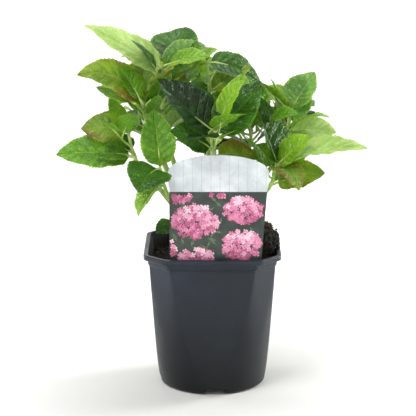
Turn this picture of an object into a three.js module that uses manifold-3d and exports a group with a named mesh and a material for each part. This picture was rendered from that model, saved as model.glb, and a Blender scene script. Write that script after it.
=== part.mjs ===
// A young hydrangea in a square-rimmed plastic pot, with its compost and the label that stands in it.
// Millimetres, +Z up, front towards -Y. The origin is the middle of the pot's flat underside.

import * as THREE from "three";
import { mergeVertices } from "three/addons/utils/BufferGeometryUtils.js";
import Module from "manifold-3d";

const wasm = await Module();
wasm.setup();

const clearance = 0.3; // between pieces that touch

// The pot: its wall is the overlap of a cone and two square funnels, one of them turned by an eighth of a
// turn.
const potHeight = 154;
const rimHalf = 73.4;
const rimCornerHalf = 87.7;
const lipHeight = 5.5;
const lipRounding = 1.2;
const bandHeight = 6.5;
const bandStep = 1;
const bandTaper = 0.7;
const wall = 2;
const wallHalfTop = 68.2;
const wallHalfBottom = 59;
const wallCornerTop = 81;
const wallCornerBottom = 60;
const coneTop = 84;
const coneBottom = 57.2;
const baseRounding = 4;
const floorHeight = 7;
const mouthHalf = 68.6;
const mouthCorner = 83;
const potSides = 44;
const lap = 0.02; // how far fused pieces reach into each other
const lipLap = 1; // how far the wall and the band reach up into the lip
const overcut = 1; // how far a cut starts outside the pot
const roomAbove = 5; // of the cut for the pot's room, over the rim
const smallestEdge = 0.03; // of a fused solid

// Under the pot: a raised ring channel, which drainage notches open to the outside.
const channelInner = 30;
const channelOuter = 48;
const channelHeight = 4.5;
const notchCount = 4;
const notchWidth = 28;
const notchHeight = 5.5;
const notchSlope = 3;
const notchTurn = 3.5;
const notchInside = 6; // how far a notch starts inside the channel

// The compost and the heap of it at the right, which stands above the rim.
const compostTop = potHeight - 18;
const heapCentre = [56, 14, potHeight - 14];
const heapReach = [24, 46, 30];
const heapRoom = potHeight + 40;
const heapSides = 18;
const heapRings = 10;

// The label: a card just inside the front rim, on a spike in the compost.
const labelY = -61.8;
const labelThickness = 1;
const labelLeft = -45;
const labelRightBottom = 51.5;
const labelRightTop = 57.5;
const labelFoot = potHeight - 13;
const labelNeck = potHeight + 76;
const labelShoulder = potHeight + 93;
const labelTop = potHeight + 110.5;
const labelStep = 1;
const labelCornerCut = 9;
const labelArch = 30;
const labelArchSteps = 9;
const labelBevel = 2;
const spikeMiddle = 4;
const spikeHalf = 14;
const spikeShoulder = labelFoot - 12;
const spikeTip = potHeight - 48;

// The stem that the boughs leave, standing on the compost.
const footX = 0;
const footY = 2;
const footFlare = 13;
const footRadius = 9;
const footHeight = 34;
const footFlareHeight = 7;
const footFlareStep = 1;
const footShoulder = 8; // below the foot's top
const footCrown = 2;
const footTip = 0.6; // of the foot's radius
const footSides = 14;

// Limbs and leaves.
const boughStart = 3.4;
const boughEnd = 2.3;
const boughRoot = 12; // how far a bough's root lies below its first point
const boughSteps = 6;
const limbSides = 6;
const stemEnd = 1.5;
const stemSteps = 4;
const stalkStart = 1.5;
const stalkEnd = 0.8;
const stalkSides = 4;
const stalkSunk = 0.14; // how far a stalk runs into its blade, as a share of the blade's length
const bladeThickness = 0.018; // of the blade's length, at the midrib
const leastThickness = 1;
const bladeSides = 4;
const longLeaf = 36; // a leaf longer than this is bent in more steps

// How the rule draws a leaf. A pair is the range that a value is drawn from.
const lowestPair = 0.45; // in steps from one pair to the next
const pairsLeftOut = 0.35; // of such a step, at the stem's tip
const lowestSize = 1.05;
const sizeLoss = 0.34; // up to the stem's tip
const sizeRange = [0.86, 1.1];
const widthToLength = 0.64;
const widthRange = [0.92, 1.1];
const droopRange = [22, 52];
const twistRange = [-18, 18];
const foldRange = [8, 20];
const bowRange = [-0.04, 0.04];
const waveDepth = 0.1;
const waveCount = 2.5;
const shortestStalk = 6;
const stalkToSize = 0.12;
const turnRange = [-14, 14];
const rollRange = [-14, 14];
const riseRange = [-8, 8];
const tries = 14; // how often the rule draws a leaf again that doesn't fit
const strayPerTry = 0.25;
const sizeLossPerTry = 0.03;
const highestLeaf = 0.99; // as a share of the stem

// How the masses keep to their own space.
const samplesAlong = 14;
const samplesAcross = 4; // to each side of the midrib
const rootShare = 0.3; // of a blade, within which leaves of one mass may meet
const keepOff = 4.4; // from the leaves of another mass
const ownKeepOff = 3.2; // from the leaves of the same mass, past their roots
const limbKeepOff = 2;
const labelKeepOff = 2;
const rimKeepOff = 3;
const boughSamples = 24;
const stemSamples = 8;

// The crown's outline from the front, as x and height above the rim on sight lines that fall towards the
// back, and the clear ways through the crown, as x, height and radius.
const sightSlope = 0.229;
const crownOutline = [
  [-165, 97], [-140, 121], [-106, 152], [-140, 186], [-105, 196], [-116, 228], [-62, 232],
  [-32, 240], [2, 218], [52, 184], [78, 180], [113, 187], [112, 150], [162, 103], [100, 92],
  [110, 66], [58, 62], [55, 5], [-45, 5], [-72, 30], [-86, 86],
];
const clearWays = [
  [-19, 134, 8],
  [36, 127, 4],
  [-79, 118, 4],
  [-25, 97, 4],
];

const degree = Math.PI / 180;

// Solids

function solidOf(geometry) {
  const bare = geometry.clone();
  bare.deleteAttribute("normal");
  bare.deleteAttribute("uv");
  const merged = mergeVertices(bare, 1e-4);
  const corners = merged.index.array;
  const kept = [];
  for (let i = 0; i < corners.length; i += 3) {
    const [a, b, c] = [corners[i], corners[i + 1], corners[i + 2]];
    if (a !== b && b !== c && c !== a) kept.push(a, b, c);
  }
  const places = new Float32Array(merged.attributes.position.array);
  const asSolid = (faces) => {
    const mesh = new wasm.Mesh({ numProp: 3, vertProperties: places, triVerts: new Uint32Array(faces) });
    return new wasm.Manifold(mesh);
  };
  const solid = asSolid(kept);
  return solid.volume() > 0 ? solid : asSolid(kept.reverse());
}

function geometryOf(solid) {
  const mesh = solid.getMesh();
  const geometry = new THREE.BufferGeometry();
  geometry.setAttribute("position", new THREE.BufferAttribute(new Float32Array(mesh.vertProperties), 3));
  geometry.setIndex(new THREE.BufferAttribute(new Uint32Array(mesh.triVerts), 1));
  geometry.computeVertexNormals();
  return geometry;
}

// The largest closed body of a solid: a hollow that fusing sealed is filled and a loose scrap is dropped.
function mainBody(solid) {
  const bodies = solid.decompose();
  return bodies.reduce((best, body) => (body.volume() > best.volume() ? body : best)).simplify(smallestEdge);
}

function latheSolid(profile, sides) {
  const points = profile.map(([radius, height]) => new THREE.Vector2(radius, height));
  const geometry = new THREE.LatheGeometry(points, sides);
  geometry.rotateX(90 * degree);
  return solidOf(geometry);
}

// A square funnel: half its width at the bottom and the top, turned about Z.
function funnel(halfBottom, halfTop, bottom, top, turn) {
  const corner = Math.SQRT2;
  const geometry = new THREE.CylinderGeometry(halfTop * corner, halfBottom * corner, top - bottom, 4);
  geometry.rotateX(90 * degree);
  geometry.rotateZ((45 + turn) * degree);
  geometry.translate(0, 0, (top + bottom) / 2);
  return solidOf(geometry);
}

function eightSided(halfBottom, halfTop, cornerBottom, cornerTop, bottom, top) {
  const sides = funnel(halfBottom, halfTop, bottom, top, 0);
  return sides.intersect(funnel(cornerBottom, cornerTop, bottom, top, 45));
}

function between(low, high, share) {
  return low + (high - low) * share;
}

// The pot

// The wall's shape drawn in by an inset, from one height to another.
function wallShape(inset, bottom, top) {
  const low = bottom / potHeight;
  const high = top / potHeight;
  const cone = latheSolid(
    [
      [0, bottom],
      [between(coneBottom, coneTop, low) - inset, bottom],
      [between(coneBottom, coneTop, high) - inset, top],
      [0, top],
    ],
    potSides,
  );
  const funnels = eightSided(
    between(wallHalfBottom, wallHalfTop, low) - inset,
    between(wallHalfBottom, wallHalfTop, high) - inset,
    between(wallCornerBottom, wallCornerTop, low) - inset,
    between(wallCornerBottom, wallCornerTop, high) - inset,
    bottom,
    top,
  );
  return cone.intersect(funnels);
}

function roundedBase() {
  const slant = (coneTop - coneBottom) / potHeight;
  return latheSolid(
    [
      [0, 0],
      [coneBottom - baseRounding, 0],
      [coneBottom - 0.3 * baseRounding, 0.3 * baseRounding],
      [coneBottom + slant * baseRounding, baseRounding],
      [coneTop, potHeight],
      [0, potHeight],
    ],
    potSides,
  );
}

function drainageNotch(turn) {
  const inside = channelOuter - notchInside;
  const outline = new THREE.Shape();
  outline.moveTo(-notchWidth / 2, -overcut);
  outline.lineTo(notchWidth / 2, -overcut);
  outline.lineTo(notchWidth / 2 - notchSlope, notchHeight);
  outline.lineTo(-notchWidth / 2 + notchSlope, notchHeight);
  outline.closePath();
  const geometry = new THREE.ExtrudeGeometry(outline, { depth: coneTop - inside, bevelEnabled: false });
  geometry.rotateX(90 * degree);
  geometry.translate(0, -inside, 0);
  geometry.rotateZ(turn * degree);
  return solidOf(geometry);
}

// The room inside the pot, drawn in by an inset.
function potRoom(inset, bottom, top) {
  const lipBottom = potHeight - lipHeight;
  const mouth = mouthHalf - inset;
  const corner = mouthCorner - inset;
  const well = wallShape(wall + inset, bottom, lipBottom);
  const flare = eightSided(
    wallHalfTop - wall - inset,
    mouth,
    wallCornerTop - wall - inset,
    corner,
    lipBottom - lap,
    potHeight,
  );
  const above = eightSided(mouth, mouth, corner, corner, potHeight - lap, top);
  return wasm.Manifold.union([well, flare, above]);
}

function potSolid() {
  const lipBottom = potHeight - lipHeight;
  const lipEdge = potHeight - lipRounding;
  const body = wallShape(0, 0, lipBottom + lipLap).intersect(roundedBase());
  const band = eightSided(
    wallHalfTop + bandStep - bandTaper,
    wallHalfTop + bandStep,
    wallCornerTop + bandStep - bandTaper,
    wallCornerTop + bandStep,
    lipBottom - bandHeight,
    lipBottom + lipLap,
  );
  const lip = eightSided(rimHalf, rimHalf, rimCornerHalf, rimCornerHalf, lipBottom, lipEdge);
  const lipTop = eightSided(
    rimHalf,
    rimHalf - lipRounding,
    rimCornerHalf,
    rimCornerHalf - lipRounding,
    lipEdge - lap,
    potHeight,
  );
  const channel = latheSolid(
    [
      [channelInner, -overcut],
      [channelOuter, -overcut],
      [channelOuter, channelHeight],
      [channelInner, channelHeight],
      [channelInner, -overcut],
    ],
    potSides,
  );
  const cuts = [potRoom(0, floorHeight, potHeight + roomAbove), channel];
  for (let i = 0; i < notchCount; i += 1) cuts.push(drainageNotch(notchTurn + (360 / notchCount) * i));
  return mainBody(wasm.Manifold.union([body, band, lip, lipTop]).subtract(wasm.Manifold.union(cuts)));
}

// The label and the compost

function labelSolid(grow) {
  const outline = new THREE.Shape();
  const left = labelLeft - labelStep;
  const right = labelRightTop + labelStep;
  const middle = (left + right) / 2;
  const archFoot = between(labelShoulder, labelTop, 0.5);
  outline.moveTo(spikeMiddle, spikeTip - 2 * grow);
  outline.lineTo(spikeMiddle + spikeHalf + grow, spikeShoulder);
  outline.lineTo(spikeMiddle + spikeHalf + grow, labelFoot);
  outline.lineTo(labelRightBottom - labelCornerCut, labelFoot);
  outline.lineTo(labelRightBottom, potHeight - labelBevel);
  outline.lineTo(labelRightTop, labelNeck);
  outline.lineTo(right, labelNeck + labelBevel);
  outline.lineTo(right, labelShoulder);
  outline.bezierCurveTo(right, archFoot, middle + labelArch, labelTop, middle, labelTop);
  outline.bezierCurveTo(middle - labelArch, labelTop, left, archFoot, left, labelShoulder);
  outline.lineTo(left, labelNeck + labelBevel);
  outline.lineTo(labelLeft, labelNeck);
  outline.lineTo(labelLeft, labelFoot + labelBevel);
  outline.lineTo(labelLeft + labelBevel, labelFoot);
  outline.lineTo(spikeMiddle - spikeHalf - grow, labelFoot);
  outline.lineTo(spikeMiddle - spikeHalf - grow, spikeShoulder);
  outline.closePath();
  const depth = labelThickness + 2 * grow;
  const options = { depth, bevelEnabled: false, curveSegments: labelArchSteps };
  const geometry = new THREE.ExtrudeGeometry(outline, options);
  geometry.rotateX(90 * degree);
  geometry.translate(0, labelY + depth / 2, 0);
  return solidOf(geometry);
}

function heapSolid() {
  const geometry = new THREE.SphereGeometry(1, heapSides, heapRings);
  geometry.rotateX(90 * degree);
  geometry.scale(...heapReach);
  geometry.translate(...heapCentre);
  return solidOf(geometry);
}

function compostSolid() {
  const room = potRoom(clearance, floorHeight + clearance, heapRoom);
  const fill = new THREE.BoxGeometry(2 * rimHalf, 2 * rimHalf, compostTop);
  fill.translate(0, 0, compostTop / 2);
  const filled = room.intersect(solidOf(fill).add(heapSolid()));
  return mainBody(filled.subtract(labelSolid(clearance)));
}

// Limbs

// A cylinder bent along a curve, from one radius to another.
function limbSolid(curve, startRadius, endRadius, steps, sides) {
  const geometry = new THREE.CylinderGeometry(1, 1, 1, sides, steps);
  const places = geometry.attributes.position;
  const across = new THREE.Vector3();
  const over = new THREE.Vector3();
  const first = curve.getTangentAt(0);
  const level = Math.abs(first.z) < 0.9 ? new THREE.Vector3(0, 0, 1) : new THREE.Vector3(0, 1, 0);
  for (let i = 0; i < places.count; i += 1) {
    const share = THREE.MathUtils.clamp(places.getY(i) + 0.5, 0, 1);
    const radius = between(startRadius, endRadius, share);
    const along = curve.getTangentAt(share);
    across.crossVectors(level, along).normalize();
    over.crossVectors(along, across);
    const point = curve.getPointAt(share);
    point.addScaledVector(across, radius * places.getZ(i));
    point.addScaledVector(over, radius * places.getX(i));
    places.setXYZ(i, point.x, point.y, point.z);
  }
  return solidOf(geometry);
}

function curveOf(points) {
  return new THREE.CatmullRomCurve3(points.map((point) => new THREE.Vector3(...point)));
}

function footSolid(grow) {
  const bottom = compostTop + clearance;
  const solid = latheSolid(
    [
      [0, bottom],
      [footFlare + grow, bottom],
      [footRadius + footFlareStep + grow, bottom + footFlareHeight],
      [footRadius + grow, bottom + footHeight - footShoulder],
      [footTip * footRadius + grow, bottom + footHeight - footCrown + grow],
      [0, bottom + footHeight + grow],
    ],
    footSides,
  );
  return solid.translate([footX, footY, 0]);
}

// Leaves: a blade is a squashed ball bent to the leaf's line, fold and roll.

// The place and axes of a leaf at a share of its blade's length. Its rise is that of the line from end to
// end.
function bladeFrame(leaf, share) {
  const start = (leaf.rise + leaf.droop / 2) * degree;
  const bend = leaf.droop * degree;
  const lift = start - bend * share;
  const heading = leaf.turn * degree;
  const forth = leaf.stalk * Math.cos(start) + (leaf.length * (Math.sin(start) - Math.sin(lift))) / bend;
  const up = leaf.stalk * Math.sin(start) + (leaf.length * (Math.cos(lift) - Math.cos(start))) / bend;
  const aside = 4 * leaf.bow * leaf.length * share * (1 - share);
  const level = new THREE.Vector3(Math.sin(heading), -Math.cos(heading), 0);
  const over = new THREE.Vector3(
    -Math.cos(heading) * Math.sin(lift),
    -Math.sin(heading) * Math.sin(lift),
    Math.cos(lift),
  );
  const roll = (leaf.roll + leaf.twist * (share - 0.5)) * degree;
  const place = leaf.base.clone();
  place.x += Math.cos(heading) * forth + level.x * aside;
  place.y += Math.sin(heading) * forth + level.y * aside;
  place.z += up;
  const side = level.clone().multiplyScalar(Math.cos(roll)).addScaledVector(over, Math.sin(roll));
  const normal = over.clone().multiplyScalar(Math.cos(roll)).addScaledVector(level, -Math.sin(roll));
  return { place, side, normal };
}

function bladeHalfWidth(leaf, share) {
  const round = Math.pow(Math.sin(Math.PI * Math.pow(share, 0.78)), 0.85);
  return (leaf.width / 2) * round * (1.02 - 0.2 * share * share);
}

// A point of the blade: share along it, across from -1 to 1, and lift above its middle surface.
function bladePoint(leaf, share, across, lift) {
  const { place, side, normal } = bladeFrame(leaf, share);
  const half = bladeHalfWidth(leaf, THREE.MathUtils.clamp(share, 0, 1));
  const fold = leaf.fold * degree;
  const swell = Math.sin(2 * Math.PI * (leaf.waves * share + leaf.phase));
  const wave = leaf.wave * swell * across * Math.abs(across);
  place.addScaledVector(side, half * across * Math.cos(fold));
  place.addScaledVector(normal, half * (Math.abs(across) * Math.sin(fold) + wave) + lift);
  return place;
}

// Cuts a ball's squares along the same diagonals above and below, so that a thin blade's two faces never
// cross.
function pairDiagonals(geometry, rings) {
  const corners = geometry.index.array;
  let at = 0;
  for (let row = 0; row < rings; row += 1) {
    const whole = row > 0 && row < rings - 1;
    for (let side = 0; side < bladeSides; side += 1) {
      if (whole && side % 2 === 1) {
        const [a, b, d, , c] = corners.slice(at, at + 5);
        corners.set([a, b, c, a, c, d], at);
      }
      at += whole ? 6 : 3;
    }
  }
}

function bladeSolid(leaf) {
  const rings = leaf.length > longLeaf ? 6 : 5;
  const geometry = new THREE.SphereGeometry(1, bladeSides, rings);
  pairDiagonals(geometry, rings);
  const places = geometry.attributes.position;
  const thickness = Math.max(bladeThickness * leaf.length, leastThickness);
  for (let i = 0; i < places.count; i += 1) {
    const share = (1 - places.getY(i)) / 2;
    const ring = Math.hypot(places.getX(i), places.getZ(i));
    const across = ring > 1e-6 ? places.getX(i) / ring : 0;
    const lift = ring > 1e-6 ? (places.getZ(i) / ring) * (thickness / 2) : 0;
    const point = bladePoint(leaf, share, across, lift);
    places.setXYZ(i, point.x, point.y, point.z);
  }
  return solidOf(geometry);
}

function stalkSolid(leaf) {
  const blade = bladeFrame(leaf, 0).place;
  const sunk = bladeFrame(leaf, stalkSunk).place;
  const curve = curveOf([leaf.base.toArray(), blade.toArray(), sunk.toArray()]);
  return limbSolid(curve, stalkStart, stalkEnd, 1, stalkSides);
}

// Masses of foliage. Heights are above the rim. A leaf with values of its own is one of the near side,
// whose lie is known.
const masses = [
  {
    name: "front",
    seed: 21,
    bough: [[0, -18, 26], [-1, -36, 60], [0, -46, 92]],
    stem: [[0, -46, 92], [1, -48, 112], [3, -48, 133]],
    pairs: 3,
    size: 50,
    turn: 200,
    low: 10,
    high: 50,
    own: [
      { turn: 189, rise: 24, length: 46, width: 40, droop: 30, roll: 45, stalk: 5, up: 0.5 },
      { turn: 20, rise: -8, length: 46, width: 32, droop: 30, roll: -35, stalk: 6, up: 0.35 },
      { turn: 209, rise: 42, length: 33, width: 9, droop: 20, fold: 24, stalk: 3, up: 0.58 },
      { turn: 331, rise: 36, length: 31, width: 9, droop: 20, fold: 24, stalk: 3, up: 0.6 },
      { turn: 184, rise: 44, length: 80, width: 58, droop: -14, roll: 40, fold: 28, stalk: 3, up: 0.97 },
      { turn: 8, rise: 48, length: 68, width: 48, droop: -14, roll: -50, fold: 16, stalk: 3, up: 0.98 },
    ],
  },
  {
    name: "lower_left",
    seed: 5,
    bough: [[-12, -20, 16], [-34, -44, 42], [-46, -52, 64]],
    stem: [[-46, -52, 64], [-51, -53, 78], [-55, -55, 96]],
    pairs: 2,
    size: 48,
    turn: 231,
    low: 0,
    high: 40,
    own: [
      { turn: 231, rise: -38, length: 46, width: 38, droop: 34, roll: -20, stalk: 4, up: 0.5 },
      { skip: true },
      { turn: 120, rise: 76, length: 60, width: 36, droop: 10, roll: 20, stalk: 5, up: 0.9 },
      { turn: 243, rise: -22, length: 46, width: 46, droop: 44, roll: 20, stalk: 4, up: 0.97 },
    ],
  },
  {
    name: "left",
    seed: 3,
    bough: [[-22, -8, 22], [-56, -17, 64], [-80, -20, 92]],
    stem: [[-80, -20, 92], [-86, -23, 112], [-89, -26, 130]],
    pairs: 4,
    size: 58,
    turn: 183,
    low: 5,
    high: 60,
    own: [
      { turn: 182, rise: 2, length: 78, width: 48, droop: 18, roll: 38, fold: 14, stalk: 6, up: 0.2 },
      { turn: 142, rise: 12, length: 40, width: 34, droop: 20, roll: 20, stalk: 6, up: 0.3 },
      { turn: 80, rise: 10, up: 0.4 },
      { skip: true },
      { turn: 164, rise: 1, length: 50, width: 38, droop: 24, roll: 45, stalk: 4, up: 0.93 },
      { turn: 228, rise: 29, length: 40, width: 15, droop: 26, roll: 30, fold: 28, stalk: 4, up: 0.97 },
      { turn: 171, rise: 62, length: 39, width: 20, droop: -18, roll: 50, fold: 20, stalk: 3, up: 0.98 },
      { turn: 318, rise: 40, length: 28, width: 12, droop: 20, roll: -40, fold: 26, stalk: 3, up: 0.98 },
    ],
  },
  {
    name: "upper_left",
    seed: 8,
    bough: [[-18, -4, 26], [-48, -12, 84], [-66, -18, 124]],
    stem: [[-66, -18, 124], [-71, -20, 142], [-74, -21, 160]],
    pairs: 3,
    size: 62,
    turn: 200,
    low: 10,
    high: 50,
    own: [
      { turn: 351, rise: 17, up: 0.3 },
      { turn: 140, rise: 10, up: 0.3 },
      { turn: 165, rise: 59, length: 46, width: 32, droop: 10, roll: 30, stalk: 4, up: 0.85 },
      { turn: 60, rise: 25, up: 0.8 },
      { turn: 194, rise: 22, length: 77, width: 43, droop: 74, roll: 42, stalk: 5, up: 0.97 },
      { turn: 100, rise: 45, up: 0.95 },
    ],
  },
  {
    name: "top_left",
    seed: 11,
    bough: [[-14, -4, 24], [-36, -16, 80], [-50, -18, 122], [-53, -12, 150]],
    stem: [[-53, -12, 150], [-53, -8, 172], [-51, -4, 192]],
    pairs: 4,
    size: 68,
    turn: 200,
    low: 10,
    high: 50,
    own: [
      { turn: 60, rise: 12, up: 0.2 },
      { turn: 130, rise: 10, up: 0.25 },
      { turn: 165, rise: 30, up: 0.5 },
      { turn: 30, rise: 16, up: 0.6 },
      { turn: 120, rise: 25, up: 0.75 },
      { turn: 6, rise: 30, length: 48, width: 38, droop: 30, roll: -45, stalk: 4, up: 0.95 },
      { turn: 186, rise: 30, length: 94, width: 46, droop: 4, roll: 28, fold: 12, stalk: 3, up: 0.98 },
      { turn: 62, rise: 39, length: 58, width: 58, droop: 20, roll: 0, stalk: 5, up: 0.98 },
    ],
  },
  {
    name: "top",
    seed: 13,
    bough: [[-1, 6, 30], [-4, 8, 90], [-3, 6, 130]],
    stem: [[-3, 6, 130], [-3, 6, 165], [-6, 6, 199]],
    pairs: 4,
    size: 70,
    turn: 12,
    low: 8,
    high: 55,
    own: [
      { turn: 50, up: 0.2 },
      { turn: 150, up: 0.2 },
      { turn: 3, rise: 31, length: 48, width: 30, droop: 20, roll: -35, stalk: 5, up: 0.5 },
      { turn: 100, up: 0.5 },
      { turn: 206, rise: 8, up: 0.7 },
      { turn: 40, rise: 22, up: 0.75 },
      { turn: 2, rise: -26, length: 62, width: 34, droop: 50, roll: -35, stalk: 4, up: 0.98 },
      { turn: 110, rise: 40, up: 0.98 },
    ],
  },
  {
    name: "right",
    seed: 55,
    bough: [[16, -14, 20], [42, -30, 48], [60, -36, 70]],
    stem: [[60, -36, 70], [65, -38, 82], [68, -38, 95]],
    pairs: 4,
    size: 56,
    turn: 348,
    low: 5,
    high: 60,
    own: [
      { turn: 347, rise: 14, length: 52, width: 42, droop: 20, roll: -33, stalk: 9, up: 0.1 },
      { turn: 80, rise: 5, up: 0.2 },
      { turn: 292, rise: -12, length: 58, width: 30, droop: 60, roll: 0, stalk: 4, up: 0.8 },
      { turn: 120, rise: 14, up: 0.6 },
      { turn: 351, rise: 12, length: 94.6, width: 46, droop: 34, roll: -15, fold: 16, stalk: 4, up: 0.97 },
      { turn: 343, rise: 42, length: 46, width: 35, droop: 10, roll: -40, stalk: 4, up: 0.98 },
      { turn: 155, rise: 66, length: 84, width: 54, droop: 10, roll: 0, fold: 28, stalk: 3, up: 0.99 },
      { skip: true },
    ],
  },
  {
    name: "middle",
    seed: 17,
    bough: [[12, 0, 28], [28, -4, 70], [36, -6, 96]],
    stem: [[36, -6, 96], [40, -8, 112], [42, -10, 128]],
    pairs: 2,
    size: 60,
    turn: 203,
    low: 10,
    high: 60,
    own: [
      { turn: 203, rise: 10, up: 0.4 },
      { turn: 70, up: 0.4 },
      { turn: 110, rise: 66, length: 46, width: 32, droop: 10, stalk: 4, up: 0.98 },
      { turn: 100, rise: 40, up: 0.9 },
    ],
  },
  {
    name: "top_right",
    seed: 34,
    bough: [[18, 4, 24], [50, 6, 64], [72, 8, 96]],
    stem: [[72, 8, 96], [80, 6, 122], [84, 8, 146]],
    pairs: 4,
    size: 62,
    turn: 20,
    low: 8,
    high: 55,
    own: [
      { turn: 355, rise: 0, length: 48, width: 38, roll: -30, stalk: 6, up: 0.5 },
      { turn: 110, rise: 5, up: 0.4 },
      { turn: 50, rise: 60, length: 50, width: 42, droop: 10, roll: -20, fold: 24, stalk: 4, up: 0.72 },
      { turn: 300, rise: 10, up: 0.5 },
      { turn: 210, rise: 57, length: 42, width: 32, droop: -10, roll: 20, stalk: 4, up: 0.95 },
      { turn: 60, rise: 28, up: 0.8 },
      { turn: 30, rise: 52, length: 46, width: 42, droop: 10, roll: -20, fold: 20, stalk: 4, up: 0.98 },
      { turn: 140, rise: 45, up: 0.98 },
    ],
  },
  {
    name: "low_left",
    seed: 29,
    bough: [[-12, -10, -2], [-20, -15, 6], [-28, -18, 14]],
    stem: [[-28, -18, 14], [-33, -21, 20], [-36, -23, 28]],
    pairs: 1,
    size: 34,
    turn: 210,
    low: 0,
    high: 30,
    own: [
      { turn: 212, rise: -14, length: 26, width: 26, droop: 30, roll: 20, stalk: 4, up: 0.9 },
      { skip: true },
    ],
  },
  {
    name: "back_left",
    seed: 89,
    bough: [[-14, 18, 22], [-44, 52, 56], [-60, 72, 86]],
    stem: [[-60, 72, 86], [-68, 82, 112], [-72, 88, 138]],
    pairs: 4,
    size: 70,
    turn: 140,
    low: 0,
    high: 50,
    own: [],
  },
  {
    name: "back",
    seed: 144,
    bough: [[0, 22, 24], [2, 62, 62], [2, 82, 94]],
    stem: [[2, 82, 94], [3, 92, 120], [2, 96, 150]],
    pairs: 4,
    size: 72,
    turn: 90,
    low: 0,
    high: 50,
    own: [],
  },
  {
    name: "back_right",
    seed: 233,
    bough: [[14, 18, 20], [46, 48, 54], [62, 66, 82]],
    stem: [[62, 66, 82], [70, 76, 106], [74, 82, 132]],
    pairs: 4,
    size: 68,
    turn: 40,
    low: 0,
    high: 50,
    own: [],
  },
];

// The boughs leave the foot's middle.
for (const mass of masses) {
  const root = [footX, footY, mass.bough[0][2] - boughRoot];
  mass.boughCurve = curveOf([root, ...mass.bough]);
  mass.boughLine = mass.boughCurve.getSpacedPoints(boughSamples);
  mass.stemCurve = curveOf(mass.stem);
  mass.stemLine = mass.stemCurve.getSpacedPoints(stemSamples);
}

// A small seeded source of numbers from 0 to 1.
function dice(seed) {
  let state = seed >>> 0;
  return () => {
    state = (state + 0x6d2b79f5) >>> 0;
    let mixed = Math.imul(state ^ (state >>> 15), state | 1);
    mixed = (mixed + Math.imul(mixed ^ (mixed >>> 7), mixed | 61)) ^ mixed;
    return ((mixed ^ (mixed >>> 14)) >>> 0) / 4294967296;
  };
}

// Points spread over a leaf: its stalk, then its blade, with the blade past its root apart.
function spreadPoints(leaf) {
  const root = [];
  const blade = [];
  const start = bladeFrame(leaf, 0).place;
  for (const share of [0.5, 1]) root.push(leaf.base.clone().lerp(start, share));
  for (let i = 1; i <= samplesAlong; i += 1) {
    const share = i / samplesAlong;
    const list = share < rootShare ? root : blade;
    for (let j = -samplesAcross; j <= samplesAcross; j += 1) {
      list.push(bladePoint(leaf, share, j / samplesAcross, 0));
    }
  }
  leaf.blade = blade;
  leaf.points = [...root, ...blade];
  leaf.middle = bladePoint(leaf, 0.5, 0, 0);
  leaf.reach = Math.max(...leaf.points.map((point) => point.distanceTo(leaf.middle)));
}

function nearerThan(distance, points, others) {
  const limit = distance * distance;
  return points.some((point) => others.some((other) => point.distanceToSquared(other) < limit));
}

function insideOutline(x, height) {
  let inside = false;
  crownOutline.forEach(([x1, z1], i) => {
    const [x2, z2] = crownOutline[(i + 1) % crownOutline.length];
    const crosses = z1 > height !== z2 > height;
    if (crosses && x < x1 + ((x2 - x1) * (height - z1)) / (z2 - z1)) inside = !inside;
  });
  return inside;
}

// Whether a leaf reaches the label, the pot or a limb.
function meetsFixed(leaf) {
  const inLabel = (p) =>
    Math.abs(p.y - labelY) < labelKeepOff + labelThickness / 2 &&
    p.z < labelTop - potHeight + labelKeepOff &&
    p.x > labelLeft - labelStep - labelKeepOff &&
    p.x < labelRightTop + labelStep + labelKeepOff;
  const inPot = (p) =>
    p.z < rimKeepOff && Math.max(Math.abs(p.x), Math.abs(p.y)) < rimHalf + rimKeepOff;
  if (leaf.points.some((point) => inLabel(point) || inPot(point))) return true;
  return masses.some(
    (other) =>
      nearerThan(boughStart + limbKeepOff, leaf.points, other.boughLine) ||
      (other !== leaf.mass && nearerThan(boughEnd + limbKeepOff, leaf.points, other.stemLine)),
  );
}

// Whether a leaf comes too near one that stands. Leaves of one mass may meet at their roots.
function meetsLeaf(leaf, other) {
  if (leaf.middle.distanceTo(other.middle) > leaf.reach + other.reach + keepOff) return false;
  if (other.mass !== leaf.mass) return nearerThan(keepOff, leaf.points, other.points);
  return nearerThan(ownKeepOff, leaf.blade, other.blade);
}

// Whether a leaf shows outside the crown's outline or in one of its clear ways, seen from the front.
function spoilsOutline(leaf) {
  return leaf.points.some((point) => {
    const height = point.z + sightSlope * point.y;
    const shut = clearWays.some(([x, middle, radius]) => Math.hypot(point.x - x, height - middle) < radius);
    return shut || !insideOutline(point.x, height);
  });
}

// Pairs of leaves up the stem, each turned a quarter from the last. Higher pairs are smaller and more
// upright. With each attempt the rule's draw strays further and the leaf is smaller.
function drawLeaf(mass, slot, attempt, draw) {
  const pair = Math.floor(slot / 2);
  const height = (pair + lowestPair) / (mass.pairs - pairsLeftOut);
  const given = mass.own[slot] ?? {};
  const stray = given.length === undefined ? 1 + strayPerTry * attempt : 0;
  const drawn = mass.size * (lowestSize - sizeLoss * height * height) * between(...sizeRange, draw());
  const size = drawn * (1 - sizeLossPerTry * attempt);
  const leaf = {
    length: size,
    width: size * widthToLength * between(...widthRange, draw()),
    turn: mass.turn + 90 * pair + 180 * (slot % 2),
    rise: between(mass.low, mass.high, height),
    droop: between(...droopRange, draw()),
    roll: stray * between(...rollRange, draw()),
    twist: between(...twistRange, draw()),
    fold: between(...foldRange, draw()),
    bow: between(...bowRange, draw()),
    wave: waveDepth,
    waves: waveCount,
    phase: draw(),
    stalk: shortestStalk + stalkToSize * size,
    up: height,
    slot,
    mass,
    ...given,
  };
  leaf.turn += stray * between(...turnRange, draw());
  leaf.rise += stray * between(...riseRange, draw());
  leaf.base = mass.stemCurve.getPointAt(Math.min(leaf.up, highestLeaf));
  spreadPoints(leaf);
  return leaf;
}

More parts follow.
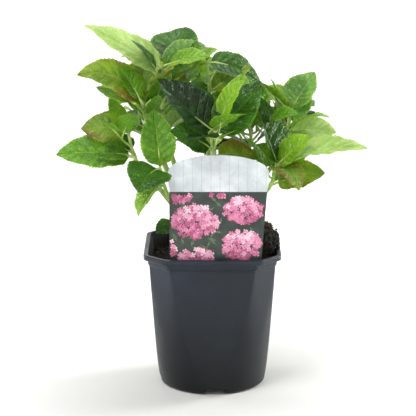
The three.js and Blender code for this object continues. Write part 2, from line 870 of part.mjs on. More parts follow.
// The leaves of the near side stand first, then those of the rule that find room. One that doesn't is drawn
// again, and left out in the end.
function growLeaves() {
  const leaves = [];
  const near = masses.flatMap((mass) => mass.own.map((given, slot) => ({ mass, slot, given })));
  for (const { mass, slot } of near.filter(({ given }) => given.length !== undefined)) {
    const leaf = drawLeaf(mass, slot, 0, dice(mass.seed + slot));
    const others = leaves.filter((other) => other.mass !== mass);
    if (!meetsFixed(leaf) && !others.some((other) => meetsLeaf(leaf, other))) leaves.push(leaf);
  }
  for (const mass of masses) {
    const draw = dice(mass.seed);
    for (let slot = 0; slot < 2 * mass.pairs; slot += 1) {
      const given = mass.own[slot] ?? {};
      const attempts = given.skip || given.length !== undefined ? 0 : tries;
      for (let attempt = 0; attempt < attempts; attempt += 1) {
        const leaf = drawLeaf(mass, slot, attempt, draw);
        if (meetsFixed(leaf) || spoilsOutline(leaf)) continue;
        if (leaves.some((other) => meetsLeaf(leaf, other))) continue;
        leaves.push(leaf);
        break;
      }
    }
  }
  return leaves;
}

// The plant's pieces stand at the rim's height.
const group = new THREE.Group();
const plant = new THREE.Group();
plant.position.z = potHeight;
group.add(plant);

function addMesh(parent, name, solid, colour, roughness) {
  const material = new THREE.MeshStandardMaterial({ color: colour, roughness, metalness: 0 });
  const mesh = new THREE.Mesh(geometryOf(solid), material);
  mesh.name = name;
  parent.add(mesh);
}

addMesh(group, "pot", potSolid(), 0x3a434c, 0.45);
addMesh(group, "compost", compostSolid(), 0x1c130d, 0.95);
addMesh(group, "label", labelSolid(0), 0xd9dcdc, 0.4);
addMesh(group, "stem_foot", footSolid(0), 0x7b6a48, 0.8);

const foot = footSolid(clearance).translate([0, 0, -potHeight]);
const boughs = [];
for (const mass of masses) {
  let bough = limbSolid(mass.boughCurve, boughStart, boughEnd, boughSteps, limbSides).subtract(foot);
  for (const other of boughs) bough = bough.subtract(other);
  bough = mainBody(bough);
  const [startRoom, endRoom] = [boughStart + clearance, boughEnd + clearance];
  boughs.push(limbSolid(mass.boughCurve, startRoom, endRoom, boughSteps, limbSides));
  addMesh(plant, `bough_${mass.name}`, bough, 0x6f8a3c, 0.6);
}

const leaves = growLeaves();
for (const mass of masses) {
  const away = mass.stemCurve.getTangentAt(0);
  const lean = mass.boughCurve.getTangentAt(1).angleTo(away);
  const gap = clearance + boughEnd * Math.sin(lean);
  const start = new THREE.Vector3(...mass.stem[0]).addScaledVector(away, gap);
  const stem = curveOf([start.toArray(), ...mass.stem.slice(1)]);
  const own = leaves.filter((leaf) => leaf.mass === mass);
  const solids = own.flatMap((leaf) => [bladeSolid(leaf), stalkSolid(leaf)]);
  const whole = wasm.Manifold.union([limbSolid(stem, boughEnd, stemEnd, stemSteps, limbSides), ...solids]);
  addMesh(plant, `foliage_${mass.name}`, mainBody(whole), 0x4f8a1c, 0.5);
}

export default group;
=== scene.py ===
import math

import bpy
import numpy as np
from mathutils.bvhtree import BVHTree
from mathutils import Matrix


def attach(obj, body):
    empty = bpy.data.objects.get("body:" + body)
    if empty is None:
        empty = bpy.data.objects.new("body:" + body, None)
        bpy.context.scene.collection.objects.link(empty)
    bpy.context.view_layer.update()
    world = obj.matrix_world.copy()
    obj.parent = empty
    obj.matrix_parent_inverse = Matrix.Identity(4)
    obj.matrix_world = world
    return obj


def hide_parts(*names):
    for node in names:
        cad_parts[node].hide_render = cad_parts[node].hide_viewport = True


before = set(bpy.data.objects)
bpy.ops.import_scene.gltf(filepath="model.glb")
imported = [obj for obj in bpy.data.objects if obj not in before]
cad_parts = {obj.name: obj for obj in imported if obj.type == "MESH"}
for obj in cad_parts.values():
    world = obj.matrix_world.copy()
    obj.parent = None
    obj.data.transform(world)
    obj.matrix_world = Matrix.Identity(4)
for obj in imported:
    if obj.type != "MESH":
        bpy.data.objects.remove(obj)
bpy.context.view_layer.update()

MM = 0.001

# The pot, in millimetres.
POT_HEIGHT = 154.0
RIM_HALF = 73.4
RIM_CORNER_HALF = 87.7
LIP_HEIGHT = 5.5
LIP_ROUNDING = 1.2
BAND_HEIGHT = 6.5
BAND_STEP = 1.0
WALL = 2.0
WALL_HALF = (59.0, 68.2)
WALL_CORNER = (60.0, 81.0)
CONE = (57.2, 84.0)
WALL_BLEND = 1.3
RIM_BLEND = 4.0
POT_SIDES = 480
BASE_ROUNDING = 4.0
MOUTH_HALF = 68.6
MOUTH_CORNER = 83.0
CHANNEL = (30.0, 48.0, 4.5)
NOTCH_COUNT = 4
NOTCH_WIDTH = 26.0
NOTCH_HEIGHT = 5.5
NOTCH_TURN = 3.5

# The compost and its heap.
COMPOST_TOP = POT_HEIGHT - 18
INSIDE_FOOT = COMPOST_TOP - 30  # the pot's inside is drawn down to here
HEAP_CENTRE = (56.0, 14.0, POT_HEIGHT - 14)
HEAP_REACH = (24.0, 46.0, 30.0)

# The label.
LABEL_Y = -61.8
LABEL_THICKNESS = 1.0
LABEL_FRONT = LABEL_Y - LABEL_THICKNESS / 2
LABEL_BACK = LABEL_Y + LABEL_THICKNESS / 2
LABEL_LEFT = -45.0
LABEL_RIGHT_BOTTOM = 51.5
LABEL_RIGHT_TOP = 57.5
LABEL_FOOT = POT_HEIGHT - 13
LABEL_NECK = POT_HEIGHT + 76
LABEL_SHOULDER = POT_HEIGHT + 93
LABEL_TOP = POT_HEIGHT + 110.5
LABEL_STEP = 1.0
LABEL_CORNER_CUT = 9.0
LABEL_ARCH = 30.0
SPIKE_MIDDLE = 4.0
SPIKE_HALF = 14.0
SPIKE_SHOULDER = LABEL_FOOT - 12

# The stem, limbs and leaves.
FOOT = (0.0, 2.0)
FOOT_HEIGHT = 34.0
FOOT_FLARE = 13.0
BOUGH_FOOT = 12.0  # how far below its first point a bough leaves the plant's axis
BOUGH_START = 3.4
BOUGH_END = 2.3
STEM_END = 1.5
STALK_START = 1.5
STALK_END = 0.45
WIDTH_TO_LENGTH = 0.64
SAMPLES_ALONG = 14
SAMPLES_ACROSS = 4
ROOT_SHARE = 0.3
KEEP_OFF = 4.4
OWN_KEEP_OFF = 3.2
LIMB_KEEP_OFF = 2.0
LABEL_KEEP_OFF = 2.0
RIM_KEEP_OFF = 3.0
TRIES = 14
SIGHT_SLOPE = 0.229
CROWN_OUTLINE = [
    (-165, 97), (-140, 121), (-106, 152), (-140, 186), (-105, 196), (-116, 228), (-62, 232),
    (-32, 240), (2, 218), (52, 184), (78, 180), (113, 187), (112, 150), (162, 103), (100, 92),
    (110, 66), (58, 62), (55, 5), (-45, 5), (-72, 30), (-86, 86),
]
CLEAR_WAYS = [(-19, 134, 8), (36, 127, 4), (-79, 118, 4), (-25, 97, 4)]


def near(tone, up, turn, rise, length, width, stalk, **bends):
    """A leaf of the near side, with values of its own. What isn't given follows the rule."""
    return dict(tone=tone, up=up, turn=turn, rise=rise, length=length, width=width, stalk=stalk, **bends)


# The masses of foliage, with places above the rim. A line's last three points are the mass's stem, the others
# and the first of these are the bough that it stands on. An own leaf takes the place of one by the rule.
MASSES = [
    dict(
        name="front", seed=21, pairs=3, size=50, turn=200, low=10, high=50,
        line=[(0, -18, 26), (-1, -36, 60), (0, -46, 92), (1, -48, 112), (3, -48, 133)],
        own=[
            near("dark", 0.5, 189, 24, 46, 40, 5, droop=30, roll=45),
            near("olive", 0.35, 20, -8, 46, 32, 6, droop=30, roll=-35),
            near("lime", 0.58, 209, 42, 33, 9, 3, droop=20, fold=24),
            near("lime", 0.6, 331, 36, 31, 9, 3, droop=20, fold=24),
            near("deep", 0.97, 184, 44, 80, 58, 3, droop=-14, roll=40, fold=28),
            near("dark", 0.98, 8, 48, 68, 48, 3, droop=-14, roll=-50, fold=16),
        ],
    ),
    dict(
        name="lower_left", seed=5, pairs=2, size=48, turn=231, low=0, high=40,
        line=[(-12, -20, 16), (-34, -44, 42), (-46, -52, 64), (-51, -53, 78), (-55, -55, 96)],
        own=[
            near("lime", 0.5, 231, -38, 46, 38, 4, droop=34, roll=-20),
            dict(skip=True),
            near("green", 0.9, 120, 76, 60, 36, 5, droop=10, roll=20),
            near("dark", 0.97, 243, -22, 46, 46, 4, droop=44, roll=20),
        ],
    ),
    dict(
        name="left", seed=3, pairs=4, size=58, turn=183, low=5, high=60,
        line=[(-22, -8, 22), (-56, -17, 64), (-80, -20, 92), (-86, -23, 112), (-89, -26, 130)],
        own=[
            near("green", 0.2, 182, 2, 78, 48, 6, droop=18, roll=38, fold=14),
            near("dark", 0.3, 142, 12, 40, 34, 6, droop=20, roll=20),
            dict(turn=80, rise=10, up=0.4),
            dict(skip=True),
            near("tinged", 0.93, 164, 1, 50, 38, 4, droop=24, roll=45),
            near("lime", 0.97, 228, 29, 40, 15, 4, droop=26, roll=30, fold=28),
            near("lime", 0.98, 171, 62, 39, 20, 3, droop=-18, roll=50, fold=20),
            near("lime", 0.98, 318, 40, 28, 12, 3, droop=20, roll=-40, fold=26),
        ],
    ),
    dict(
        name="upper_left", seed=8, pairs=3, size=62, turn=200, low=10, high=50,
        line=[(-18, -4, 26), (-48, -12, 84), (-66, -18, 124), (-71, -20, 142), (-74, -21, 160)],
        own=[
            dict(turn=351, rise=17, up=0.3),
            dict(turn=140, rise=10, up=0.3),
            near("lime", 0.85, 165, 59, 46, 32, 4, droop=10, roll=30),
            dict(turn=60, rise=25, up=0.8),
            near("olive", 0.97, 194, 22, 77, 43, 5, droop=74, roll=42),
            dict(turn=100, rise=45, up=0.95),
        ],
    ),
    dict(
        name="top_left", seed=11, pairs=4, size=68, turn=200, low=10, high=50,
        line=[
            (-14, -4, 24), (-36, -16, 80), (-50, -18, 122), (-53, -12, 150), (-53, -8, 172), (-51, -4, 192),
        ],
        own=[
            dict(turn=60, rise=12, up=0.2),
            dict(turn=130, rise=10, up=0.25),
            dict(turn=165, rise=30, up=0.5),
            dict(turn=30, rise=16, up=0.6),
            dict(turn=120, rise=25, up=0.75),
            near("sky_sheen", 0.95, 6, 30, 48, 38, 4, droop=30, roll=-45),
            near("pale", 0.98, 186, 30, 94, 46, 3, droop=4, roll=28, fold=12),
            near("dark", 0.98, 62, 39, 58, 58, 5, droop=20, roll=0),
        ],
    ),
    dict(
        name="top", seed=13, pairs=4, size=70, turn=12, low=8, high=55,
        line=[(-1, 6, 30), (-4, 8, 90), (-3, 6, 130), (-3, 6, 165), (-6, 6, 199)],
        own=[
            dict(turn=50, up=0.2),
            dict(turn=150, up=0.2),
            near("tinged", 0.5, 3, 31, 48, 30, 5, droop=20, roll=-35),
            dict(turn=100, up=0.5),
            dict(turn=206, rise=8, up=0.7),
            dict(turn=40, rise=22, up=0.75),
            near("dark", 0.98, 2, -26, 62, 34, 4, droop=50, roll=-35),
            dict(turn=110, rise=40, up=0.98),
        ],
    ),
    dict(
        name="right", seed=55, pairs=4, size=56, turn=348, low=5, high=60,
        line=[(16, -14, 20), (42, -30, 48), (60, -36, 70), (65, -38, 82), (68, -38, 95)],
        own=[
            near("tinged", 0.1, 347, 14, 52, 42, 9, droop=20, roll=-33),
            dict(turn=80, rise=5, up=0.2),
            near("tinged", 0.8, 292, -12, 58, 30, 4, droop=60, roll=0),
            dict(turn=120, rise=14, up=0.6),
            near("pale", 0.97, 351, 12, 94.6, 46, 4, droop=34, roll=-15, fold=16),
            near("lime", 0.98, 343, 42, 46, 35, 4, droop=10, roll=-40),
            near("dark", 0.99, 155, 66, 84, 54, 3, droop=10, roll=0, fold=28),
            dict(skip=True),
        ],
    ),
    dict(
        name="middle", seed=17, pairs=2, size=60, turn=203, low=10, high=60,
        line=[(12, 0, 28), (28, -4, 70), (36, -6, 96), (40, -8, 112), (42, -10, 128)],
        own=[
            dict(turn=203, rise=10, up=0.4),
            dict(turn=70, up=0.4),
            near("lime", 0.98, 110, 66, 46, 32, 4, droop=10),
            dict(turn=100, rise=40, up=0.9),
        ],
    ),
    dict(
        name="top_right", seed=34, pairs=4, size=62, turn=20, low=8, high=55,
        line=[(18, 4, 24), (50, 6, 64), (72, 8, 96), (80, 6, 122), (84, 8, 146)],
        own=[
            near("pale", 0.5, 355, 0, 48, 38, 6, roll=-30),
            dict(turn=110, rise=5, up=0.4),
            near("sky_sheen", 0.72, 50, 60, 50, 42, 4, droop=10, roll=-20, fold=24),
            dict(turn=300, rise=10, up=0.5),
            near("lime", 0.95, 210, 57, 42, 32, 4, droop=-10, roll=20),
            dict(turn=60, rise=28, up=0.8),
            near("sky_sheen", 0.98, 30, 52, 46, 42, 4, droop=10, roll=-20, fold=20),
            dict(turn=140, rise=45, up=0.98),
        ],
    ),
    dict(
        name="low_left", seed=29, pairs=1, size=34, turn=210, low=0, high=30,
        line=[(-12, -10, -2), (-20, -15, 6), (-28, -18, 14), (-33, -21, 20), (-36, -23, 28)],
        own=[
            near("dark", 0.9, 212, -14, 26, 26, 4, droop=30, roll=20),
            dict(skip=True),
        ],
    ),
    dict(
        name="back_left", seed=89, pairs=4, size=70, turn=140, low=0, high=50,
        line=[(-14, 18, 22), (-44, 52, 56), (-60, 72, 86), (-68, 82, 112), (-72, 88, 138)],
        own=[],
    ),
    dict(
        name="back", seed=144, pairs=4, size=72, turn=90, low=0, high=50,
        line=[(0, 22, 24), (2, 62, 62), (2, 82, 94), (3, 92, 120), (2, 96, 150)],
        own=[],
    ),
    dict(
        name="back_right", seed=233, pairs=4, size=68, turn=40, low=0, high=50,
        line=[(14, 18, 20), (46, 48, 54), (62, 66, 82), (70, 76, 106), (74, 82, 132)],
        own=[],
    ),
]


def between(low, high, share):
    return low + (high - low) * share


class Dice:
    """A small seeded source of numbers from low to high, the same as the CAD part's."""

    def __init__(self, seed):
        self.state = seed

    def __call__(self, low=0.0, high=1.0):
        word = 0xFFFFFFFF
        self.state = (self.state + 0x6D2B79F5) & word
        mixed = ((self.state ^ (self.state >> 15)) * (self.state | 1)) & word
        mixed = ((mixed + ((mixed ^ (mixed >> 7)) * (mixed | 61) & word)) & word) ^ mixed
        return between(low, high, (mixed ^ (mixed >> 14)) / 4294967296)


class Curve:
    """A centripetal Catmull-Rom curve, read by share of its length."""

    def __init__(self, points):
        self.points = np.array(points, float)
        t = np.linspace(0, 1, 201)
        steps = np.linalg.norm(np.diff([self.raw(v) for v in t], axis=0), axis=1)
        self.lengths = np.concatenate([[0], np.cumsum(steps)])
        self.t = t

    def raw(self, t):
        p = self.points
        last = len(p) - 1
        place = last * t
        i = min(int(place), last - 1)
        w = place - i
        p1, p2 = p[i], p[i + 1]
        p0 = p[i - 1] if i > 0 else 2 * p[0] - p[1]
        p3 = p[i + 2] if i + 2 <= last else 2 * p[last] - p[last - 1]
        d0, d1, d2 = (max(np.sum((b - a) ** 2) ** 0.25, 1e-6) for a, b in ((p0, p1), (p1, p2), (p2, p3)))
        t1 = ((p1 - p0) / d0 - (p2 - p0) / (d0 + d1) + (p2 - p1) / d1) * d1
        t2 = ((p2 - p1) / d1 - (p3 - p1) / (d1 + d2) + (p3 - p2) / d2) * d1
        return p1 + t1 * w + (-3 * p1 + 3 * p2 - 2 * t1 - t2) * w**2 + (2 * p1 - 2 * p2 + t1 + t2) * w**3

    def at(self, share):
        return self.raw(np.interp(share * self.lengths[-1], self.lengths, self.t))

    def tangent(self, share):
        t = np.interp(share * self.lengths[-1], self.lengths, self.t)
        way = self.raw(min(t + 1e-4, 1)) - self.raw(max(t - 1e-4, 0))
        return way / np.linalg.norm(way)

    def spaced(self, count):
        return np.array([self.at(k / count) for k in range(count + 1)])


# Leaves


def leaf_frame(leaf, share):
    """Places and axes of a leaf at shares of its blade's length."""
    start = math.radians(leaf["rise"] + leaf["droop"] / 2)
    bend = math.radians(leaf["droop"])
    heading = math.radians(leaf["turn"])
    lift = start - bend * share
    forth = leaf["stalk"] * math.cos(start) + leaf["length"] * (math.sin(start) - np.sin(lift)) / bend
    up = leaf["stalk"] * math.sin(start) + leaf["length"] * (np.cos(lift) - math.cos(start)) / bend
    aside = 4 * leaf["bow"] * leaf["length"] * share * (1 - share)
    c, s = math.cos(heading), math.sin(heading)
    nothing = np.zeros_like(lift)
    level = np.stack([s + nothing, -c + nothing, nothing], -1)
    over = np.stack([-c * np.sin(lift), -s * np.sin(lift), np.cos(lift)], -1)
    roll = np.radians(leaf["roll"] + leaf["twist"] * (share - 0.5))[..., None]
    place = leaf["base"] + np.stack([c * forth + s * aside, s * forth - c * aside, up], -1)
    side = level * np.cos(roll) + over * np.sin(roll)
    normal = over * np.cos(roll) - level * np.sin(roll)
    return place, side, normal


def leaf_points(leaf, share, across, teeth=0.0, lift=0.0, soften=0.0):
    """Points of a blade at shares along it and across from -1 to 1.

    Teeth are added to its half width, and lift goes over its surface.
    """
    place, side, normal = leaf_frame(leaf, share)
    bare = np.clip(share, 0, 1)
    half = leaf["width"] / 2 * np.sin(np.pi * bare**0.78) ** 0.85 * (1.02 - 0.2 * bare**2)
    fold = math.radians(leaf["fold"])
    wave = leaf["wave"] * np.sin(2 * np.pi * (leaf["waves"] * share + leaf["phase"]))
    wave = wave * across * np.abs(across)
    slant = np.sqrt(across**2 + soften**2) - soften
    place = place + side * ((half + teeth) * across * math.cos(fold))[..., None]
    return place + normal * (half * (slant * math.sin(fold) + wave) + lift)[..., None]


def spread_points(leaf):
    start = leaf_frame(leaf, np.zeros(1))[0][0]
    share, across = np.meshgrid(
        np.arange(1, SAMPLES_ALONG + 1) / SAMPLES_ALONG,
        np.arange(-SAMPLES_ACROSS, SAMPLES_ACROSS + 1) / SAMPLES_ACROSS,
        indexing="ij",
    )
    points = leaf_points(leaf, share, across)
    leaf["blade"] = points[share[:, 0] >= ROOT_SHARE].reshape(-1, 3)
    stalk = [(leaf["base"] + start) / 2, start]
    leaf["points"] = np.concatenate([stalk, points.reshape(-1, 3)])
    leaf["middle"] = leaf_points(leaf, np.array([0.5]), np.zeros(1))[0]
    leaf["reach"] = np.linalg.norm(leaf["points"] - leaf["middle"], axis=1).max()


def nearer_than(distance, points, others):
    gaps = ((points[:, None, :] - others[None, :, :]) ** 2).sum(-1)
    return bool(gaps.min() < distance * distance)


def crossings(outline, height):
    """Where a closed outline crosses a height."""
    pairs = zip(outline, outline[1:] + outline[:1])
    cut = [((x1, z1), (x2, z2)) for (x1, z1), (x2, z2) in pairs if (z1 > height) != (z2 > height)]
    return [x1 + (x2 - x1) * (height - z1) / (z2 - z1) for (x1, z1), (x2, z2) in cut]


def inside_outline(x, height):
    return sum(x < crossing for crossing in crossings(CROWN_OUTLINE, height)) % 2 == 1


def meets_fixed(leaf):
    p = leaf["points"]
    in_label = (
        (np.abs(p[:, 1] - LABEL_Y) < LABEL_KEEP_OFF + LABEL_THICKNESS / 2)
        & (p[:, 2] < LABEL_TOP - POT_HEIGHT + LABEL_KEEP_OFF)
        & (p[:, 0] > LABEL_LEFT - LABEL_STEP - LABEL_KEEP_OFF)
        & (p[:, 0] < LABEL_RIGHT_TOP + LABEL_STEP + LABEL_KEEP_OFF)
    )
    in_pot = (p[:, 2] < RIM_KEEP_OFF) & (np.abs(p[:, :2]).max(axis=1) < RIM_HALF + RIM_KEEP_OFF)
    if (in_label | in_pot).any():
        return True
    for other in MASSES:
        if nearer_than(BOUGH_START + LIMB_KEEP_OFF, p, other["bough_line"]):
            return True
        if other is not leaf["mass"] and nearer_than(BOUGH_END + LIMB_KEEP_OFF, p, other["stem_line"]):
            return True
    return False


def meets_leaf(leaf, other):
    if np.linalg.norm(leaf["middle"] - other["middle"]) > leaf["reach"] + other["reach"] + KEEP_OFF:
        return False
    if other["mass"] is not leaf["mass"]:
        return nearer_than(KEEP_OFF, leaf["points"], other["points"])
    return nearer_than(OWN_KEEP_OFF, leaf["blade"], other["blade"])


def spoils_outline(leaf):
    for x, y, z in leaf["points"]:
        height = z + SIGHT_SLOPE * y
        if any(math.hypot(x - cx, height - cz) < radius for cx, cz, radius in CLEAR_WAYS):
            return True
        if not inside_outline(x, height):
            return True
    return False


def values_given(mass, slot):
    return mass["own"][slot] if slot < len(mass["own"]) else {}


def draw_leaf(mass, slot, attempt, draw):
    """A leaf by the rule: pairs up the stem, a quarter turn apart, smaller and steeper with height."""
    pair = slot // 2
    height = (pair + 0.45) / (mass["pairs"] - 0.35)
    given = values_given(mass, slot)
    stray = 1 + 0.25 * attempt if "length" not in given else 0
    size = mass["size"] * (1.05 - 0.34 * height * height) * draw(0.86, 1.1) * (1 - 0.03 * attempt)
    leaf = {
        "length": size,
        "width": size * WIDTH_TO_LENGTH * draw(0.92, 1.1),
        "turn": mass["turn"] + 90 * pair + 180 * (slot % 2),
        "rise": between(mass["low"], mass["high"], height),
        "droop": draw(22, 52),
        "roll": stray * draw(-14, 14),
        "twist": draw(-18, 18),
        "fold": draw(8, 20),
        "bow": draw(-0.04, 0.04),
        "wave": 0.1,
        "waves": 2.5,
        "phase": draw(),
        "stalk": 6 + 0.12 * size,
        "up": height,
        "mass": mass,
        **given,
    }
    leaf["turn"] += stray * draw(-14, 14)
    leaf["rise"] += stray * draw(-8, 8)
    leaf["base"] = mass["stem_curve"].at(min(leaf["up"], 0.99))
    spread_points(leaf)
    return leaf


def grow_leaves():
    leaves = []
    for mass in MASSES:
        for slot, given in enumerate(mass["own"]):
            if "length" not in given:
                continue
            leaf = draw_leaf(mass, slot, 0, Dice(mass["seed"] + slot))
            others = [other for other in leaves if other["mass"] is not mass]
            if not meets_fixed(leaf) and not any(meets_leaf(leaf, other) for other in others):
                leaves.append(leaf)
    for mass in MASSES:
        draw = Dice(mass["seed"])
        for slot in range(2 * mass["pairs"]):
            given = values_given(mass, slot)
            if "skip" in given or "length" in given:
                continue
            for attempt in range(TRIES):
                leaf = draw_leaf(mass, slot, attempt, draw)
                barred = meets_fixed(leaf) or spoils_outline(leaf)
                if not (barred or any(meets_leaf(leaf, other) for other in leaves)):
                    leaves.append(leaf)
                    break
    return leaves


for mass in MASSES:
    mass["stem"] = mass["line"][-3:]
    mass["bough"] = [[*FOOT, mass["line"][0][2] - BOUGH_FOOT], *mass["line"][:-2]]
    mass["bough_line"] = Curve(mass["bough"]).spaced(24)
    mass["stem_curve"] = Curve(mass["stem"])
    mass["stem_line"] = mass["stem_curve"].spaced(8)
LEAVES = grow_leaves()

# Making meshes


def ring_angles(sides):
    return np.arange(sides) * 2 * math.pi / sides


def ring_points(angle, radius, z):
    return np.stack([radius * np.cos(angle), radius * np.sin(angle), z * np.ones(len(angle))], -1)


def raised_curve(points):
    """A curve of the plant's points, in the pot's frame."""
    return Curve(np.array(points) + [0, 0, POT_HEIGHT])


def mesh_object(name, verts, faces, materials, slots=None, smooth=True, uv=None):
    """A mesh from millimetre vertices in the pot's frame, with a material slot for each face."""
    mesh = bpy.data.meshes.new(name)
    mesh.from_pydata((np.asarray(verts) * MM).tolist(), [], [tuple(f) for f in faces])
    for material in materials:
        mesh.materials.append(material)
    if slots is not None:
        mesh.polygons.foreach_set("material_index", np.asarray(slots, dtype=np.int32))
    if uv is not None:
        layer = mesh.uv_layers.new(name="lay")
        loops = np.zeros(len(mesh.loops), dtype=np.int32)
        mesh.loops.foreach_get("vertex_index", loops)
        layer.data.foreach_set("uv", np.asarray(uv, dtype=np.float32)[loops].ravel())
    mesh.polygons.foreach_set("use_smooth", np.full(len(mesh.polygons), smooth))
    mesh.update()
    piece = bpy.data.objects.new(name, mesh)
    bpy.context.scene.collection.objects.link(piece)
    return piece


class Batch:
    """Gathers many small meshes into one."""

    def __init__(self):
        self.verts, self.faces, self.slots, self.uvs, self.count = [], [], [], [], 0

    def add(self, verts, faces, slot=0, uv=None):
        self.verts.append(np.asarray(verts, float))
        self.faces.append(np.asarray(faces, int) + self.count)
        self.slots.append(np.full(len(faces), slot))
        self.uvs.append(np.zeros((len(verts), 2)) if uv is None else uv)
        self.count += len(verts)

    def piece(self, name, materials, smooth=True):
        faces = [face for block in self.faces for face in block.tolist()]
        verts, slots, uvs = (np.concatenate(part) for part in (self.verts, self.slots, self.uvs))
        return mesh_object(name, verts, faces, materials, slots, smooth, uvs)


def grid_faces(rows, columns, closed=False):
    """Faces of a grid of vertices, row by row. A closed grid joins its last column to its first."""
    r = np.arange(rows - 1)[:, None]
    c = np.arange(columns if closed else columns - 1)[None, :]
    after = (c + 1) % columns
    a, b = r * columns + c, r * columns + after
    return np.stack([a, b, b + columns, a + columns], -1).reshape(-1, 4)


def tube(batch, curve, radii, shares, sides, bumps=None):
    """A round limb along a curve. bumps, from angle and share, is added to its radius."""
    angle = ring_angles(sides)
    rows = []
    for share, radius in zip(shares, radii):
        along = curve.tangent(share)
        level = np.array([0, 0, 1.0]) if abs(along[2]) < 0.97 else np.array([0, 1.0, 0])
        across = np.cross(level, along)
        across /= np.linalg.norm(across)
        over = np.cross(along, across)
        ring = ring_points(angle, radius + (bumps(angle, share) if bumps else 0), 0)
        rows.append(curve.at(share) + np.outer(ring[:, 0], across) + np.outer(ring[:, 1], over))
    verts = np.concatenate(rows)
    uv = np.stack([np.tile(angle / (2 * math.pi), len(rows)), np.repeat(shares, sides)], -1)
    batch.add(verts, grid_faces(len(rows), sides, closed=True), 0, uv)
    centre = curve.at(shares[-1]) + curve.tangent(shares[-1]) * radii[-1] * 0.5
    ring = np.arange(sides)
    fan = np.stack([ring, (ring + 1) % sides, np.full(sides, sides)], -1)
    batch.add(np.concatenate([verts[-sides:], [centre]]), fan)


# Materials


def srgb(code):
    parts = [int(code[i : i + 2], 16) / 255 for i in (0, 2, 4)]
    return tuple(p / 12.92 if p <= 0.04045 else ((p + 0.055) / 1.055) ** 2.4 for p in parts)


class Shader:
    """Builds a material's nodes with short calls. A colour is a node's output or a hex code."""

    def __init__(self, name, colour, roughness):
        self.material = bpy.data.materials.new(name)
        self.material.use_nodes = True
        self.material.diffuse_color = (*srgb(colour), 1)
        self.tree = self.material.node_tree
        self.surface = self.tree.nodes["Principled BSDF"]
        self.set(Base_Color=colour, Roughness=roughness)

    def link(self, value, socket):
        if isinstance(value, bpy.types.NodeSocket):
            self.tree.links.new(value, socket)
        else:
            socket.default_value = (*srgb(value), 1) if isinstance(value, str) else value

    def node(self, kind, **settings):
        node = self.tree.nodes.new("ShaderNode" + kind)
        for name, value in settings.items():
            setattr(node, name, value)
        return node

    def fill(self, node, *values, **named):
        """Fills a node's inputs, in their order or by name with underscores for spaces."""
        for value, socket in zip(values, node.inputs):
            self.link(value, socket)
        for name, value in named.items():
            self.link(value, node.inputs[name.replace("_", " ")])
        return node

    def set(self, **named):
        self.fill(self.surface, **named)

    def colour(self, value):
        self.set(Base_Color=value)

    def math(self, kind, *values):
        return self.fill(self.node("Math", operation=kind), *values).outputs[0]

    def times(self, a, b):
        return self.math("MULTIPLY", a, b)

    def flip(self, value):
        return self.math("SUBTRACT", 1.0, value)

    def range(self, value, low, high, start=0.0, end=1.0):
        node = self.node("MapRange", interpolation_type="SMOOTHSTEP")
        return self.fill(node, value, low, high, start, end).outputs[0]

    def mix(self, share, first, second):
        node = self.node("Mix", data_type="RGBA")
        for value, k in ((share, 0), (first, 6), (second, 7)):
            self.link(value, node.inputs[k])
        return node.outputs[2]

    def place(self):
        return self.node("TexCoord").outputs["Object"]

    def split(self, vector):
        return self.fill(self.node("SeparateXYZ"), vector).outputs

    def noise(self, scale, detail, rough=0.55):
        named = {"Vector": self.place(), "Scale": scale, "Detail": detail, "Roughness": rough}
        return self.fill(self.node("TexNoise"), **named).outputs[0]

    def spots(self, scale, detail, rough, low, high):
        """Noise with its tones drawn apart into spots."""
        return self.range(self.noise(scale, detail, rough), low, high)

    def cells(self, scale):
        """How far a place is from the walls of irregular cells."""
        node = self.node("TexVoronoi", feature="DISTANCE_TO_EDGE")
        return self.fill(node, Vector=self.place(), Scale=scale).outputs[0]

    def bump(self, height, strength, distance):
        normal = self.fill(self.node("Bump"), Height=height, Strength=strength, Distance=distance).outputs[0]
        self.set(Normal=normal)
        return normal


def two_tones(name, colour, roughness, spots, dark, light, relief=None, shine=0.5):
    """A material of two tones in spots. A relief is a noise's values and its bump's strength and distance."""
    shader = Shader(name, colour, roughness)
    shader.colour(shader.mix(shader.spots(*spots), dark, light))
    shader.set(Specular_IOR_Level=shine)
    if relief:
        scale, detail, rough, strength, distance = relief
        shader.bump(shader.noise(scale, detail, rough), strength, distance)
    return shader.material


VEINS = 7.5  # lateral veins to a blade's length
VEIN_REACH = 0.2  # how far towards the tip a vein runs from midrib to margin, as a share of the length
VEIN_BEND = 0.85
LIGHT_THROUGH = 0.2  # the share of a leaf's light that shines through it


